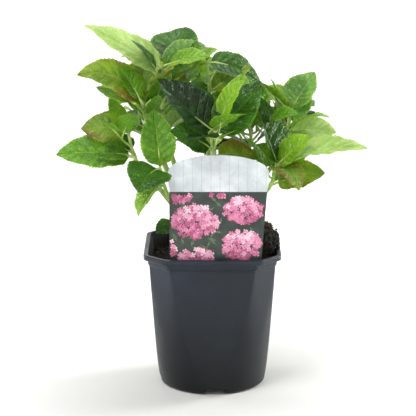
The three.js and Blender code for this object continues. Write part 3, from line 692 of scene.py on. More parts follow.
def leaf_material(name, deep, light, vein, margin, tint, sheen):
    """A leaf's skin: veins, their net with painted shade in its furrows, a painted sheen between the veins, a
    paler margin, and light through it.
    """
    shader = Shader(name, light, sheen)
    u, v, _ = shader.split(shader.node("UVMap", uv_map="lay").outputs[0])
    across = shader.math("ABSOLUTE", shader.math("MULTIPLY_ADD", u, 2.0, -1.0))
    bend = shader.times(shader.math("POWER", across, VEIN_BEND), VEIN_REACH)
    phase = shader.times(shader.math("SUBTRACT", v, bend), VEINS)
    ridge = shader.math("ABSOLUTE", shader.math("SUBTRACT", shader.math("FRACT", phase), 0.5))
    lateral = shader.times(shader.flip(shader.range(ridge, 0.5, 0.405)), shader.range(across, 1.02, 0.72))
    veins = shader.math("MAXIMUM", lateral, shader.flip(shader.range(across, 0.012, 0.075)))
    net = shader.cells(270.0)
    body = shader.mix(shader.spots(38.0, 4.0, 0.55, 0.36, 0.66), deep, light)
    # Painted shade: the net's sunken furrows are darkened towards the deep colour.
    body = shader.mix(shader.times(shader.flip(shader.range(net, 0.0, 0.16)), 0.3), body, deep)
    # Painted sheen: the swellings between the veins are lightened in spots towards the margin colour.
    painted_sheen = shader.times(shader.range(ridge, 0.45, 0.05), shader.spots(170.0, 3.0, 0.7, 0.44, 0.62))
    body = shader.mix(shader.times(painted_sheen, 0.34), body, margin)
    body = shader.mix(shader.times(veins, 0.36), body, vein)
    body = shader.mix(shader.times(shader.range(across, 0.84, 1.0), 0.55), body, margin)
    if tint:
        stain = shader.times(shader.spots(22.0, 5.0, 0.7, 0.46, 0.58), shader.range(across, 0.25, 0.95))
        body = shader.mix(shader.times(stain, 0.85), body, tint)
    shader.colour(body)
    shader.set(Specular_IOR_Level=0.42)
    normal = shader.bump(shader.math("MULTIPLY_ADD", net, 1.3, shader.times(veins, -0.7)), 0.75, 0.0013)
    glow = shader.fill(shader.node("BsdfTranslucent"), Color=body, Normal=normal)
    blend = shader.fill(shader.node("MixShader"), LIGHT_THROUGH, shader.surface.outputs[0], glow.outputs[0])
    shader.fill(shader.tree.nodes["Material Output"], Surface=blend.outputs[0])
    return shader.material


# A leaf's deep, light, vein, margin and stain colours, and its roughness.
TONES = {
    # deep: a near-black green for leaves inside the crown: painted shade.
    "deep": ("0c2203", "163a06", "3f6f1c", "356a12", None, 0.36),
    "dark": ("204608", "376a10", "6f9c36", "659a26", None, 0.32),
    "green": ("447a0c", "68a11a", "a2c253", "95b932", None, 0.32),
    "lime": ("5c9010", "82b21e", "bdd76c", "b2d23e", None, 0.32),
    "olive": ("5a7d12", "82a322", "b2c468", "aebb40", "85602c", 0.34),
    # pale: partly the young leaves' own light green, partly a painted shine on leaves that face the light.
    "pale": ("8cb250", "b4d178", "cddca4", "c3d379", None, 0.32),
    # A leaf green with a painted bluish sheen: the sky's reflection on a glossy leaf.
    "sky_sheen": ("4c8126", "7aa648", "b2cc8c", "a3bb58", None, 0.36),
    "tinged": ("4d7612", "7c9e20", "a9c05c", "a3a032", "6f3320", 0.34),
}
TONE_NAMES = list(TONES)

# The plant

TEETH_PITCH = 3.9
TOOTH_STEPS = (0.0, 0.5, 0.88)
TOOTH_HEIGHTS = (0.0, 0.72, 1.0)
HALF_COLUMNS = 9


def blade_mesh(leaf):
    """A leaf's blade: toothed margin, sunk midrib and veins, and the quilting between them."""
    leaf = {**leaf, "wave": 0.5 * leaf["wave"]}
    teeth = max(7, round(leaf["length"] * 1.05 / TEETH_PITCH))
    steps = [0.05 + 0.95 * (tooth + step) / teeth for tooth in range(teeth) for step in TOOTH_STEPS]
    shares, saw = np.array([0.0, *steps, 1.0]), np.array([0.0, *TOOTH_HEIGHTS * teeth, 0.0])
    lane = np.linspace(-1, 1, 2 * HALF_COLUMNS + 1)
    lane = np.sign(lane) * np.abs(lane) ** 1.15
    share, across = np.meshgrid(shares, lane, indexing="ij")
    depth = (0.3 + 0.011 * leaf["length"]) * np.sin(np.pi * np.clip(shares, 0, 1)) ** 0.4
    toothed = ((saw - 0.6) * depth)[:, None] * np.clip((np.abs(across) - 0.75) / 0.25, 0, 1)
    bare = np.sin(np.pi * np.clip(share, 0, 1) ** 0.78)
    fuller = leaf["width"] / 2 * (1.08 * bare ** (0.52 + 0.26 * share) - bare**0.85)
    veins = (share - VEIN_REACH * np.abs(across) ** VEIN_BEND) * VEINS
    swell = np.sin(np.pi * (veins % 1.0)) ** 0.7
    window = np.clip(np.abs(across) * 6, 0, 1) * (1 - 0.75 * np.abs(across) ** 2.5)
    window = window * np.sin(np.pi * share) ** 0.5
    lift = 0.025 * leaf["length"] * swell * window - 0.006 * leaf["length"] * (np.abs(across) < 0.02)
    ruffle = np.sin(2 * np.pi * (share * 6.3 + leaf["phase"] * 3))
    ruffle = 0.006 * leaf["length"] * np.abs(across) ** 6 * ruffle
    points = leaf_points(leaf, share, across, toothed + fuller, lift + ruffle, soften=0.12)
    points = points + [0, 0, POT_HEIGHT]
    uv = np.stack([(across + 1) / 2, share], -1).reshape(-1, 2)
    return points.reshape(-1, 3), grid_faces(len(shares), len(lane)), uv


def blade(batch, leaf, slot):
    verts, faces, uv = blade_mesh(leaf)
    batch.add(verts, faces, slot, uv)


def stalk(batch, leaf):
    places, _, _ = leaf_frame(leaf, np.array([0.0, 0.1, 0.3]))
    shares = np.linspace(0, 1, 9)
    tube(batch, raised_curve([leaf["base"], *places]), between(STALK_START, STALK_END, shares), shares, 8)


def tone_of(leaf, draw):
    """A leaf's own tone, or one drawn by its height on the stem: the young ones at the tip are lighter, some
    in the pale tone that is partly painted shine, and low ones may draw the deep tone, which is painted
    shade.
    """
    if "tone" in leaf:
        return TONE_NAMES.index(leaf["tone"])
    kinds = ("dark", "green", "dark", "deep")
    if leaf["up"] > 0.45:
        kinds = ("lime", "lime", "green", "pale") if leaf["up"] > 0.8 else ("green", "lime", "green", "olive")
    return TONE_NAMES.index(kinds[int(draw() * len(kinds))])


SHOOTS = 40  # side shoots tried on each mass's stem
GOLDEN_TURN = 137.5  # from one side shoot to the next
SHOOT_STRAY = 14.0  # how far a side shoot's leaf may pass its mass's other leaves
SHOOT_KEEP_OFF = 0.6  # how far a side shoot's leaf stays from every other leaf
SHOOT_SIDES = (-1, 1, 0, -1, 1)  # where a side shoot's leaves are tried: right, left or at its tip
LABEL_VIEW = (8.0, 14.0)  # room kept free in front of the label, beside it and above it
SHOOT_RADII = (1.5, 0.9)
BUD_SIZES = (15, 14, 9, 8)


def leaves_reach(leaf, low, high):
    """Does any point of a leaf lie outside a box?"""
    return bool(((leaf["points"] < low) | (leaf["points"] > high)).any())


def hides_label(leaf):
    x, y, z = leaf["points"].T
    before = (y < LABEL_Y) & (x > LABEL_LEFT - LABEL_VIEW[0]) & (x < LABEL_RIGHT_TOP + LABEL_VIEW[0])
    return bool((before & (z < LABEL_TOP - POT_HEIGHT + LABEL_VIEW[1])).any())


def blade_tree(leaf):
    if "tree" not in leaf:
        verts, faces, _ = blade_mesh(leaf)
        leaf["tree"] = BVHTree.FromPolygons(verts.tolist(), faces.tolist())
    return leaf["tree"]


def crowded(leaf, others):
    """Does a leaf's blade come too near another or cross it?"""
    close = [o for o in others if np.linalg.norm(leaf["middle"] - o["middle"]) < leaf["reach"] + o["reach"]]
    if any(nearer_than(SHOOT_KEEP_OFF, leaf["blade"], other["blade"]) for other in close):
        return True
    return any(blade_tree(leaf).overlap(blade_tree(other)) for other in close)


def side_leaf(mass, base, turn, size, draw):
    leaf = dict(
        length=size, width=size * draw(0.58, 0.72), turn=turn, rise=draw(-8, 58), droop=draw(14, 44),
        roll=draw(-34, 34), twist=draw(-20, 20), fold=draw(8, 22), bow=draw(-0.05, 0.05), wave=0.1, waves=2.5,
        phase=draw(), stalk=4 + 0.1 * size, up=0.4 + 0.5 * draw(), mass=mass, base=np.array(base),
    )
    spread_points(leaf)
    return leaf


def grow_shoots(grown):
    """Short side shoots with leaves of their own, where the sky gaps and the other leaves leave room."""
    shoots = []
    crown = np.concatenate([leaf["points"] for leaf in grown])
    for mass in MASSES:
        draw = Dice(mass["seed"] + 300)
        own = np.concatenate([leaf["points"] for leaf in grown if leaf["mass"] is mass])
        low = np.maximum(own.min(0) - SHOOT_STRAY, crown.min(0))
        high = np.minimum(own.max(0) + SHOOT_STRAY, crown.max(0))
        for k in range(SHOOTS):
            turn = mass["turn"] + 45 + GOLDEN_TURN * k + draw(-20, 20)
            heading = math.radians(turn)
            start = mass["stem_curve"].at(draw(0.05, 0.92))
            reach, climb = draw(7, 26), math.radians(draw(8, 58))
            way = np.array([math.cos(heading), math.sin(heading), math.tan(climb)]) * reach
            end = start + way
            kept = []
            for side in SHOOT_SIDES:
                size = draw(38, 70) * (0.8 if side == 0 else 1)
                base = end if side == 0 else start + way * draw(0.6, 1)
                leaf = side_leaf(mass, base, turn + side * draw(55, 95), size, draw)
                barred = leaves_reach(leaf, low, high) or hides_label(leaf) or meets_fixed(leaf)
                if not (barred or spoils_outline(leaf) or crowded(leaf, grown + kept)):
                    kept.append(leaf)
            if kept:
                shoots.append((mass, [start, start + way * 0.5 + [0, 0, -1.2], end], kept))
                grown = grown + kept
    return shoots


def bud(batch, mass, slot):
    """The small folded leaves at a stem's end."""
    draw = Dice(mass["seed"] + 900)
    for k, size in enumerate(BUD_SIZES):
        leaf = dict(
            length=size, width=size * 0.42, turn=mass["turn"] + 45 + 90 * k + 20 * draw(),
            rise=58 + 8 * (k // 2) + 8 * draw(), droop=-24, roll=0, twist=0, fold=34, bow=0, wave=0.05,
            waves=2, phase=draw(), stalk=1.5, base=mass["stem_curve"].at(0.995),
        )
        blade(batch, leaf, slot)


def wood_material():
    shader = Shader("wood", "7d8a4a", 0.6)
    z = shader.split(shader.place())[2]
    streak = shader.noise(260.0, 4.0)
    low = shader.mix(streak, "3d2c1b", "8a6b47")
    high = shader.mix(shader.noise(90.0, 3.0), "6f8f34", "a4bd62")
    young = shader.range(z, (POT_HEIGHT + 8) * MM, (POT_HEIGHT + 70) * MM)
    shader.colour(shader.mix(young, low, high))
    shader.bump(streak, 0.5, 0.0008)
    return shader.material


def rings_at(share, places, reach):
    """Rings round a limb: how much each place adds at a share of the limb's length."""
    return sum(math.exp(-(((share - place) / reach) ** 2)) for place in places)


def bark(seed, depth, scars=()):
    """The relief of a woody limb: ridges along it, and scars where older leaves stood."""

    def relief(angle, share):
        ridges = np.sin(angle * 5 + seed + 9 * share) + 0.6 * np.sin(angle * 11 - 2 * seed + 31 * share)
        return depth * ridges * (1 - 0.8 * share) + 0.75 * rings_at(share, scars, 0.018)

    return relief


def make_boughs(material):
    """The foot of the stem and the boughs, as one mesh."""
    batch = Batch()
    draw = Dice(77)
    foot = Curve([[*FOOT, COMPOST_TOP - 4], [FOOT[0] - 0.5, FOOT[1], COMPOST_TOP + 16],
                  [*FOOT, COMPOST_TOP + FOOT_HEIGHT + 0.5]])
    shares = np.linspace(0, 1, 26)
    flare = [FOOT_FLARE + 1, FOOT_FLARE - 1.5, 10, 9, 5.6, 2.5]
    radii = np.interp(shares, [0, 0.12, 0.3, 0.75, 0.94, 1], flare)
    tube(batch, foot, radii, shares, 26, bark(1.0, 0.55))
    shares = np.linspace(0, 1, 46)
    for mass in MASSES:
        scars = [0.42 + 0.05 * draw(), 0.68 + 0.05 * draw(), 0.9]
        radii = between(BOUGH_START, BOUGH_END, shares)
        tube(batch, raised_curve(mass["bough"]), radii, shares, 12, bark(6 * draw(), 0.16, scars))
    return batch.piece("boughs", [material])


def make_mass(mass, tones, twig):
    """One mass: its leaves as one piece, its stem, side shoots and stalks as another."""
    leaves, twigs = Batch(), Batch()
    draw = Dice(mass["seed"] + 500)
    own = [leaf for leaf in LEAVES if leaf["mass"] is mass]
    knots = [min(leaf["up"], 0.99) for leaf in own]

    def nodes(angle, share):
        return 0.55 * rings_at(share, knots, 0.03)

    shares = np.linspace(0, 1, 20)
    tube(twigs, raised_curve(mass["stem"]), between(BOUGH_END, STEM_END, shares), shares, 10, nodes)
    shares = np.linspace(0, 1, 9)
    for owner, line, kept in SHOOT_LIST:
        if owner is mass:
            own = own + kept
            tube(twigs, raised_curve(line), between(*SHOOT_RADII, shares), shares, 8)
    for leaf in own:
        blade(leaves, leaf, tone_of(leaf, draw))
        stalk(twigs, leaf)
    bud(leaves, mass, TONE_NAMES.index("lime"))
    name = mass["name"]
    for piece in (leaves.piece(f"leaves_{name}", tones), twigs.piece(f"twigs_{name}", [twig])):
        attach(piece, "root")
        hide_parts(f"foliage_{name}")


SHOOT_LIST = grow_shoots(LEAVES)
tones = [leaf_material(f"leaf_{name}", *codes) for name, codes in TONES.items()]
twig_relief = (500.0, 2.0, 0.55, 0.15, 0.0004)
twig = two_tones("green_twig", "a9c46a", 0.45, (60.0, 3.0, 0.55, 0.35, 0.65), "86a83f", "bcd27c", twig_relief)
wood = wood_material()
for mass in MASSES:
    make_mass(mass, tones, twig)
boughs = make_boughs(wood)
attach(boughs, "root")
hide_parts("stem_foot", *[f"bough_{mass['name']}" for mass in MASSES])

# The pot


def smooth_min(a, b, soft):
    h = np.clip(0.5 + 0.5 * (b - a) / soft, 0, 1)
    return b + (a - b) * h - soft * h * (1 - h)


def eight_sided(angle, half, corner, soft=2.2):
    square = half / np.maximum(np.abs(np.cos(angle)), np.abs(np.sin(angle)))
    turned = angle - math.pi / 4
    return smooth_min(square, corner / np.maximum(np.abs(np.cos(turned)), np.abs(np.sin(turned))), soft)


def wall_radius(angle, z, inset=0.0):
    """The wall goes over from a cone at the foot to eight sides at the top."""
    low = z / POT_HEIGHT
    half, corner = between(*WALL_HALF, low) - inset, between(*WALL_CORNER, low) - inset
    return smooth_min(eight_sided(angle, half, corner, WALL_BLEND), between(*CONE, low) - inset, WALL_BLEND)


def notch_height(angle, radius):
    """How high the drainage notches lift the pot's bottom edge."""
    height = np.zeros_like(angle)
    for k in range(NOTCH_COUNT):
        middle = math.radians(-90 + NOTCH_TURN + 360 / NOTCH_COUNT * k)
        off = np.abs((angle - middle + math.pi) % (2 * math.pi) - math.pi) * radius
        height = np.maximum(height, NOTCH_HEIGHT * np.clip((NOTCH_WIDTH / 2 - off) / 2.2, 0, 1))
    return height


def make_pot(materials):
    angle = ring_angles(POT_SIDES)
    lip = POT_HEIGHT - LIP_HEIGHT
    rows = []

    def ring(radius, z):
        rows.append(ring_points(angle, radius, z))

    notch = notch_height(angle, CONE[0])
    inner, outer, channel = CHANNEL
    ring(0.5, 0.0)
    ring(inner, 0.0)
    ring(inner + 0.3, channel)
    ring(outer - 0.5, np.maximum(channel, notch))
    ring(outer + 0.2, notch)
    for turn in np.linspace(0, math.pi / 2, 6):
        z = BASE_ROUNDING * (1 - math.cos(turn))
        inset = BASE_ROUNDING * (1 - math.sin(turn))
        ring(wall_radius(angle, z) - inset, np.maximum(z, notch + 0.15 * z))
    for z in np.linspace(8, lip - BAND_HEIGHT - 0.3, 46):
        ring(wall_radius(angle, z), z)
    band_low = eight_sided(angle, WALL_HALF[1] + BAND_STEP - 0.7, WALL_CORNER[1] + BAND_STEP - 0.7)
    band_high = eight_sided(angle, WALL_HALF[1] + BAND_STEP, WALL_CORNER[1] + BAND_STEP)
    ring(band_low - 0.4, lip - BAND_HEIGHT)
    ring(band_low, lip - BAND_HEIGHT + 0.4)
    ring(band_high, lip - 0.5)
    ring(band_high + 0.15, lip - 0.1)
    rim = eight_sided(angle, RIM_HALF, RIM_CORNER_HALF, RIM_BLEND)
    ring(rim - 0.5, lip)
    ring(rim, lip + 0.5)
    for turn in np.linspace(0, math.pi / 2, 5):
        ring(rim - LIP_ROUNDING * (1 - math.cos(turn)), POT_HEIGHT - LIP_ROUNDING * (1 - math.sin(turn)))
    mouth = eight_sided(angle, MOUTH_HALF, MOUTH_CORNER, RIM_BLEND)
    ring(mouth + 0.8, POT_HEIGHT)
    ring(mouth + 0.1, POT_HEIGHT - 0.6)
    outer_rows = len(rows)
    for z in np.linspace(lip, INSIDE_FOOT, 12):
        ring(wall_radius(angle, z, WALL), z)
    ring(20.0, INSIDE_FOOT)
    ring(0.5, INSIDE_FOOT)
    verts, faces = np.concatenate(rows), grid_faces(len(rows), POT_SIDES, closed=True)
    slots = np.repeat(np.arange(len(rows) - 1) >= outer_rows - 1, POT_SIDES).astype(int)
    return mesh_object("pot_shell", verts, faces, materials, slots)


def pot_material():
    shader = Shader("pot_plastic", "3a434c", 0.42)
    z = shader.split(shader.place())[2]
    body = shader.mix(shader.spots(14.0, 5.0, 0.65, 0.42, 0.72), "171e27", "202935")
    # Painted shade: the body darkens towards the foot, to near black at the bottom.
    body = shader.mix(shader.times(shader.range(z, 0.125, 0.0), 0.9), body, "040506")
    scuffs = shader.spots(95.0, 4.0, 0.8, 0.66, 0.74)
    shader.colour(shader.mix(shader.times(scuffs, 0.2), body, "4d565e"))
    shader.set(Roughness=shader.range(shader.noise(30.0, 4.0), 0.3, 0.7, 0.3, 0.42), Specular_IOR_Level=0.3)
    shader.bump(shader.noise(420.0, 3.0), 0.12, 0.0003)
    return shader.material


# The inside is near black: painted shade inside the pot.
inside = two_tones("pot_inside", "14171a", 0.75, (70.0, 5.0, 0.7, 0.4, 0.7), "08090a", "120e0b", shine=0.12)
pot = make_pot([pot_material(), inside])
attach(pot, "root")
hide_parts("pot")

# The compost


def heap_height(x, y):
    reach = 1 - ((x - HEAP_CENTRE[0]) / HEAP_REACH[0]) ** 2 - ((y - HEAP_CENTRE[1]) / HEAP_REACH[1]) ** 2
    return np.where(reach > 0, HEAP_CENTRE[2] + HEAP_REACH[2] * np.sqrt(np.clip(reach, 0, 1)), 0)


def lumps(x, y):
    """A rough surface: waves of several sizes and directions added up."""
    total = 0
    for k in range(14):
        turn = 2.4 * k
        pitch = 0.16 * 1.33**k
        total = total + np.sin(pitch * (x * math.cos(turn) + y * math.sin(turn)) + 1.7 * k) * 1.3 / 1.22**k
    return total * 0.42


def compost_height(x, y):
    """The bed with its heap, which slopes down to the wall."""
    angle = np.arctan2(y, x)
    wall = eight_sided(angle, MOUTH_HALF - 1, MOUTH_CORNER - 1) - np.hypot(x, y)
    slope = np.clip((wall + 1.5) / 4, 0, 1) ** 0.6
    bed = COMPOST_TOP + lumps(x, y)
    heap = heap_height(x, y) - COMPOST_TOP + 1.6 * lumps(x * 1.6, y * 1.6 + 9)
    return np.maximum(bed, COMPOST_TOP + heap * slope)


def height_at(x, y):
    return float(compost_height(np.array([x]), np.array([y]))[0])


CRUMBS = 2600  # tried on the bed and its heap
SPILT_CRUMBS = 1500  # on the rim beside the heap
FIBRES = 260  # tried on the bed and its heap
FIBRE_RADII = (0.34, 0.14)
CRUMB = np.array([(0, 0, 1), (0, 0, -1), (0.9, 0, 0.1), (-0.9, 0, -0.1), (0, 0.9, 0.1), (0, -0.9, -0.1),
                  (0.62, 0.62, -0.15), (-0.62, -0.62, 0.15)])
CRUMB_FACES = [(0, 2, 6), (0, 6, 4), (0, 4, 3), (0, 3, 7), (0, 7, 5), (0, 5, 2),
               (1, 6, 2), (1, 4, 6), (1, 3, 4), (1, 7, 3), (1, 5, 7), (1, 2, 5)]


def make_bed(material):
    angle, share = ring_angles(260), np.linspace(0.005, 1, 110)
    rim = eight_sided(angle, MOUTH_HALF - 0.6, MOUTH_CORNER - 0.6)
    r = share[:, None] * np.minimum(wall_radius(angle, COMPOST_TOP, WALL + 0.5), rim)[None, :]
    x, y = r * np.cos(angle), r * np.sin(angle)
    verts = np.stack([x, y, compost_height(x, y)], -1).reshape(-1, 3)
    return mesh_object("compost_bed", verts, grid_faces(len(share), len(angle), closed=True), [material])


def crumb(draw, size):
    """A crumb's corners, pulled askew by chance."""
    skew = draw.uniform(-1, 1, (3, 3)) * 0.35 + np.diag(draw.uniform(0.7, 1.2, 3))
    return CRUMB @ skew * size


def make_crumbs(draw, material):
    """Crumbs on the bed and on the heap, and those spilt over the rim."""
    crumbs = Batch()
    for k in range(CRUMBS):
        turn, share = draw.uniform(0, 2 * math.pi), math.sqrt(draw.uniform(0, 1)) * 0.97
        if k % 3 == 0:
            x, y = HEAP_CENTRE[0] + draw.normal(0, 9), HEAP_CENTRE[1] + draw.normal(0, 20)
        else:
            reach = share * eight_sided(np.array([turn]), MOUTH_HALF - 3, MOUTH_CORNER - 4)[0]
            x, y = reach * math.cos(turn), reach * math.sin(turn)
        if max(abs(x), abs(y)) > MOUTH_HALF - 3.5:
            continue
        size = draw.uniform(0.5, 1.9) ** 1.2
        crumbs.add(crumb(draw, size) + [x, y, height_at(x, y) + size * 0.35], CRUMB_FACES)
    for _ in range(SPILT_CRUMBS):
        x, y = draw.uniform(58, RIM_HALF - 1.5), HEAP_CENTRE[1] + draw.normal(0, 15)
        high = 15 * (1 - ((x - 54) / 21) ** 2) * math.exp(-(((y - HEAP_CENTRE[1]) / 30) ** 2))
        lump = crumb(draw, draw.uniform(0.8, 2.3))
        crumbs.add(lump + [x, y, POT_HEIGHT + 0.3 + draw.uniform(0, max(high, 1))], CRUMB_FACES)
    return crumbs.piece("compost_crumbs", [material], smooth=False)


def make_fibres(draw, material):
    """Fibres that stand up from the bed and the heap."""
    fibres = Batch()
    shares = np.linspace(0, 1, 6)
    for k in range(FIBRES):
        if k % 3:
            x, y = HEAP_CENTRE[0] + 4 + draw.normal(0, 6), HEAP_CENTRE[1] + draw.normal(0, 17)
        else:
            x, y = draw.uniform(-60, 60), draw.uniform(-60, 60)
        if max(abs(x), abs(y)) > MOUTH_HALF - 6:
            continue
        start = np.array([x, y, height_at(x, y)])
        way = draw.normal(0, 1, 3)
        way[2] = abs(way[2]) * 0.8 + 0.1
        way *= draw.uniform(3, 9) / np.linalg.norm(way)
        bend = draw.normal(0, 1.3, 3) * [1, 1, 0]
        line = [start - [0, 0, 0.6], start + way * [0.5, 0.5, 0.6] + bend, start + way * [1, 1, 0.8]]
        tube(fibres, Curve(line), between(*FIBRE_RADII, shares), shares, 5)
    return fibres.piece("compost_fibres", [material])


def fibre_material():
    shader = Shader("peat_fibre", "4a3522", 0.85)
    shader.colour(shader.mix(shader.noise(50.0, 2.0), "2d1f14", "6b5033"))
    return shader.material


soil_relief = (420.0, 5.0, 0.75, 0.9, 0.0015)
soil_spots = (190.0, 5.0, 0.7, 0.4, 0.72)
# The compost's own dark brown, darkened further as painted shade inside the pot.
soil = two_tones("compost_painted_shade", "1d140d", 0.9, soil_spots, "0b0705", "2a1c12", soil_relief)
draw = np.random.default_rng(5)
for piece in (make_bed(soil), make_crumbs(draw, soil), make_fibres(draw, fibre_material())):
    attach(piece, "root")
    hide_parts("compost")

# The label


def label_outline():
    """The card's edge above the compost, anticlockwise from its lower left."""
    left, right = LABEL_LEFT - LABEL_STEP, LABEL_RIGHT_TOP + LABEL_STEP
    middle = (left + right) / 2
    arch = between(LABEL_SHOULDER, LABEL_TOP, 0.5)
    points = [(LABEL_LEFT + 2, LABEL_FOOT), (LABEL_RIGHT_BOTTOM - LABEL_CORNER_CUT, LABEL_FOOT),
              (LABEL_RIGHT_BOTTOM, POT_HEIGHT - 2), (LABEL_RIGHT_TOP, LABEL_NECK), (right, LABEL_NECK + 2)]

    def bezier(p0, p1, p2, p3):
        for k in range(24):
            t = k / 24
            w = ((1 - t) ** 3, 3 * t * (1 - t) ** 2, 3 * t * t * (1 - t), t**3)
            points.append(tuple(sum(a * b[i] for a, b in zip(w, (p0, p1, p2, p3))) for i in (0, 1)))

    bezier((right, LABEL_SHOULDER), (right, arch), (middle + LABEL_ARCH, LABEL_TOP), (middle, LABEL_TOP))
    bezier((middle, LABEL_TOP), (middle - LABEL_ARCH, LABEL_TOP), (left, arch), (left, LABEL_SHOULDER))
    points += [(left, LABEL_SHOULDER), (left, LABEL_NECK + 2), (LABEL_LEFT, LABEL_NECK)]
    return [*points, (LABEL_LEFT, LABEL_FOOT + 2)]


def label_span(z):
    """The card's left and right edge at a height."""
    found = crossings(label_outline(), z)
    return (min(found), max(found)) if found else (0.0, 0.0)


PICTURE_TOP = POT_HEIGHT + 71.5
BOARD = 9.6
# Each head's middle across and over the rim, and its reach across and up.
FLOWER_HEADS = [(-18, 40, 24, 18), (32, 52, 21, 14), (31, 14, 20, 16), (-36, 68, 17, 8), (-16, 0, 19, 11),
                (6, 72, 12, 6), (-46, 12, 9, 9)]
PETAL = ((0, 0), (-0.62, 0.62), (-0.42, 0.98), (0.0, 1.08), (0.42, 0.98), (0.62, 0.62))  # turn and reach
SIX_SIDED = [(0, 1, 2, 3), (0, 3, 4, 5)]
EYE_TONE, LEAF_TONE = 4, 5  # slots after the petals' four
PICTURE_LEAVES = 46


def card_faces(batch, heights, y, slot, columns=41):
    verts = []
    for z in heights:
        left, right = label_span(min(z, LABEL_TOP - 0.02))
        verts += [(left + (right - left) * k / (columns - 1), y, z) for k in range(columns)]
    batch.add(verts, grid_faces(len(heights), columns), slot)


def make_card(materials):
    """The card, with the bare boards of its head, the ground of its picture and its edges."""
    card = Batch()
    low = np.linspace(LABEL_FOOT + 0.02, PICTURE_TOP, 30)
    top = LABEL_TOP - (LABEL_TOP - PICTURE_TOP) * (1 - np.sin(np.linspace(0, math.pi / 2, 30)))
    for y, ground, head in ((LABEL_FRONT, 1, 0), (LABEL_BACK, 2, 2)):
        card_faces(card, low, y, ground)
        card_faces(card, top, y, head)
    outline = label_outline()
    count = len(outline)
    ring = [(x, y, z) for y in (LABEL_FRONT, LABEL_BACK) for x, z in outline]
    card.add(ring, [(k, (k + 1) % count, count + (k + 1) % count, count + k) for k in range(count)], 2)
    left, right, top = SPIKE_MIDDLE - SPIKE_HALF, SPIKE_MIDDLE + SPIKE_HALF, LABEL_FOOT + 0.1
    for y in (LABEL_FRONT, LABEL_BACK):
        spike = [(left, y, top), (right, y, top), (right, y, SPIKE_SHOULDER), (left, y, SPIKE_SHOULDER)]
        card.add(spike, [(0, 1, 2, 3)], 2)
    return card.piece("label_card", materials, smooth=False)


def draw_floret(batch, draw, x, z, size, depth, tone):
    """Four broad petals round a small eye."""
    spin = draw.uniform(0, math.pi / 2)
    tone = min(3, max(0, int(draw.normal(tone, 0.8))))
    for k in range(4):
        turn, y = spin + k * math.pi / 2, depth - 0.004 * k
        petal = [(size * reach * math.cos(turn + aside), 0, size * reach * math.sin(turn + aside))
                 for aside, reach in PETAL]
        batch.add(np.array(petal) + [x, y, z], SIX_SIDED, tone)
    eye = [(x + 0.3 * math.cos(t), depth - 0.03, z + 0.3 * math.sin(t)) for t in ring_angles(6)]
    batch.add(eye, SIX_SIDED, EYE_TONE)


def make_picture(materials):
    """The picture: heads of small florets, and leaves on the dark ground between them."""
    picture = Batch()
    draw = np.random.default_rng(11)
    for hx, hz, rx, rz in FLOWER_HEADS:
        for k in range(int(rx * rz / 2.3)):
            turn, share = draw.uniform(0, 2 * math.pi), math.sqrt(draw.uniform(0, 1))
            x, z = hx + rx * share * math.cos(turn), POT_HEIGHT + hz + rz * share * math.sin(turn)
            left, right = label_span(z)
            size = draw.uniform(2.3, 3.1)
            if left + size < x < right - size and LABEL_FOOT + size < z < PICTURE_TOP - size:
                depth = LABEL_FRONT - 0.04 - 0.012 * k / 4 - 0.06 * (1 - share)
                draw_floret(picture, draw, x, z, size, depth, 1.5 + 1.1 * math.sin(turn) * share)
    for _ in range(PICTURE_LEAVES):
        x, z = draw.uniform(-44, 52), POT_HEIGHT + draw.uniform(-8, 66)
        left, right = label_span(z)
        if left + 4 < x < right - 4:
            turn, long, wide = draw.uniform(0, 2 * math.pi), draw.uniform(3, 6), draw.uniform(1, 1.8)
            along = np.array([math.cos(turn), math.sin(turn)])
            side = np.array([-along[1], along[0]])
            rim = np.array([along * long, side * wide, -along * long, -side * wide]) + [x, z]
            heights = np.clip(rim[:, 1], LABEL_FOOT + 0.5, PICTURE_TOP - 0.5)
            verts = np.stack([rim[:, 0], np.full(4, LABEL_FRONT - 0.02), heights], -1)
            picture.add(verts, [(0, 1, 2, 3)], LEAF_TONE)
    return picture.piece("label_picture", materials, smooth=False)


def header_material():
    shader = Shader("label_boards", "d6dadb", 0.4)
    x = shader.split(shader.place())[0]
    board = shader.math("FRACT", shader.math("DIVIDE", shader.math("ADD", x, 1.0), BOARD * MM))
    joint = shader.range(shader.math("ABSOLUTE", shader.math("SUBTRACT", board, 0.5)), 0.46, 0.5)
    body = shader.mix(shader.spots(60.0, 5.0, 0.6, 0.35, 0.7), "bcc3c6", "d8dcde")
    shader.colour(shader.mix(shader.times(joint, 0.7), body, "8f979c"))
    return shader.material


PRINT = {
    "petal_0": ("a8476e", "c0648a"), "petal_1": ("cf7199", "dc8dae"), "petal_2": ("e29dbb", "eab3ca"),
    "petal_3": ("efc6d6", "f5d9e3"), "floret_eye": ("b0557a", "c2708f"), "label_leaf": ("4f6044", "5f7150"),
}
FINE_SPOTS = (300.0, 3.0, 0.55, 0.35, 0.65)
ground = two_tones("label_ground", "262f29", 0.4, (90.0, 3.0, 0.55, 0.35, 0.65), "262f29", "354038")
edge = two_tones("label_edge", "c9cccb", 0.4, FINE_SPOTS, "c9cccb", "d6d8d7")
inks = [two_tones(name, dark, 0.4, FINE_SPOTS, dark, light) for name, (dark, light) in PRINT.items()]
for piece in (make_card([header_material(), ground, edge]), make_picture(inks)):
    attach(piece, "root")
    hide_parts("label")

# Floor, light and camera

FLOOR_REACH = 2600.0  # of the floor's flat part, from the pot
FLOOR_BEND = 800.0
FLOOR_WALL = 1700.0
FLOOR_DROP = 0.05
WORLD_LIGHT = 0.22
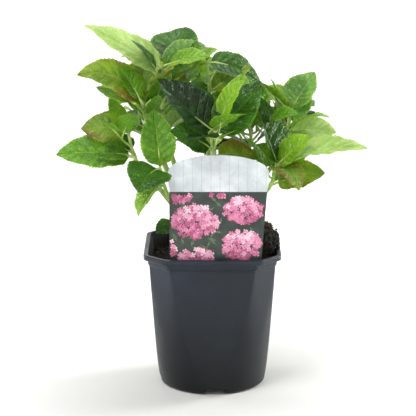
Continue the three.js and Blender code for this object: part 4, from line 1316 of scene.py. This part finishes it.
# Each light's place and aim in metres, its width and height, and its power.
LIGHTS = {
    "key": ((-0.7, -1.0, 1.9), (0, 0, 0.22), (0.8, 0.8), 27),
    "over": ((0.1, 0.7, 1.9), (0, 0, 0.2), (1.3, 1.3), 20),
    "left_side": ((-1.1, 0.45, 0.45), (0, 0, 0.12), (0.5, 0.9), 7),
    "right_side": ((1.1, 0.45, 0.45), (0, 0, 0.12), (0.4, 0.9), 20),
}
CAMERA_PITCH = math.radians(12.9)
CAMERA_DISTANCE = 1.795
CAMERA_AIM = 0.204
FOCAL_LENGTH = 1101.0  # in the same unit as the frame's width and the shifts
FRAME_WIDTH = 276.0
SHIFT_ACROSS, SHIFT_UP = 3.0, 6.2
SENSOR = 36.0


def stage():
    """A pale floor, with a painted shadow close round the pot, that rises all round, far off, and glows
    softly there.
    """
    shader = Shader("pale_floor", "f7f7f5", 0.8)
    x, y, _ = shader.split(shader.place())
    far = shader.math("SQRT", shader.math("ADD", shader.times(x, x), shader.times(y, y)))
    # Painted shadow: the floor is darker close to the pot, with a little noise in it, fading out by 0.42 m.
    close = shader.mix(shader.noise(2.0, 2.0), "d3d3d0", "d9d9d6")
    shader.colour(shader.mix(shader.range(far, 0.07, 0.42), close, "fafaf9"))
    shader.set(Emission_Color=(1, 1, 1, 1), Emission_Strength=shader.range(far, 0.5, 2.2, 0.0, 0.42))
    angle = ring_angles(96)
    profile = [(radius, 0.0) for radius in np.linspace(1, FLOOR_REACH, 8)]
    for turn in np.linspace(0.1, math.pi / 2, 12):
        profile.append((FLOOR_REACH + FLOOR_BEND * math.sin(turn), FLOOR_BEND * (1 - math.cos(turn))))
    profile.append((FLOOR_REACH + FLOOR_BEND, FLOOR_WALL))
    verts = np.concatenate([ring_points(angle, radius, z - FLOOR_DROP) for radius, z in profile])
    mesh_object("backdrop", verts, grid_faces(len(profile), len(angle), True), [shader.material])


def area_light(name, place, aim, size, power):
    light = bpy.data.lights.new(name, "AREA")
    light.shape = "RECTANGLE"
    light.size, light.size_y = size
    light.energy = power
    lamp = bpy.data.objects.new(name, light)
    lamp.location = place
    x, y, z = np.array(aim) - np.array(place)
    lamp.rotation_euler = (math.pi / 2 + math.atan2(z, math.hypot(x, y)), 0, math.atan2(y, x) - math.pi / 2)
    bpy.context.scene.collection.objects.link(lamp)


def studio():
    world = bpy.data.worlds.new("studio")
    bpy.context.scene.world = world
    world.use_nodes = True
    sky = world.node_tree.nodes["Background"].inputs
    sky[0].default_value = (1, 1, 1, 1)
    sky[1].default_value = WORLD_LIGHT
    for name, values in LIGHTS.items():
        area_light(name, *values)
    view = bpy.context.scene.view_settings
    view.view_transform = "Standard"
    view.look = "None"


def camera():
    data = bpy.data.cameras.new("camera")
    data.sensor_width = SENSOR
    data.lens = SENSOR * FOCAL_LENGTH / FRAME_WIDTH
    eye = bpy.data.objects.new("camera", data)
    away, up = CAMERA_DISTANCE * math.cos(CAMERA_PITCH), CAMERA_DISTANCE * math.sin(CAMERA_PITCH)
    eye.location = (0, -away, CAMERA_AIM + up)
    tilt = math.pi / 2 - CAMERA_PITCH - math.atan(SHIFT_UP / FOCAL_LENGTH)
    eye.rotation_euler = (tilt, 0, math.atan(SHIFT_ACROSS / FOCAL_LENGTH))
    bpy.context.scene.collection.objects.link(eye)
    bpy.context.scene.camera = eye


stage()
studio()
camera()
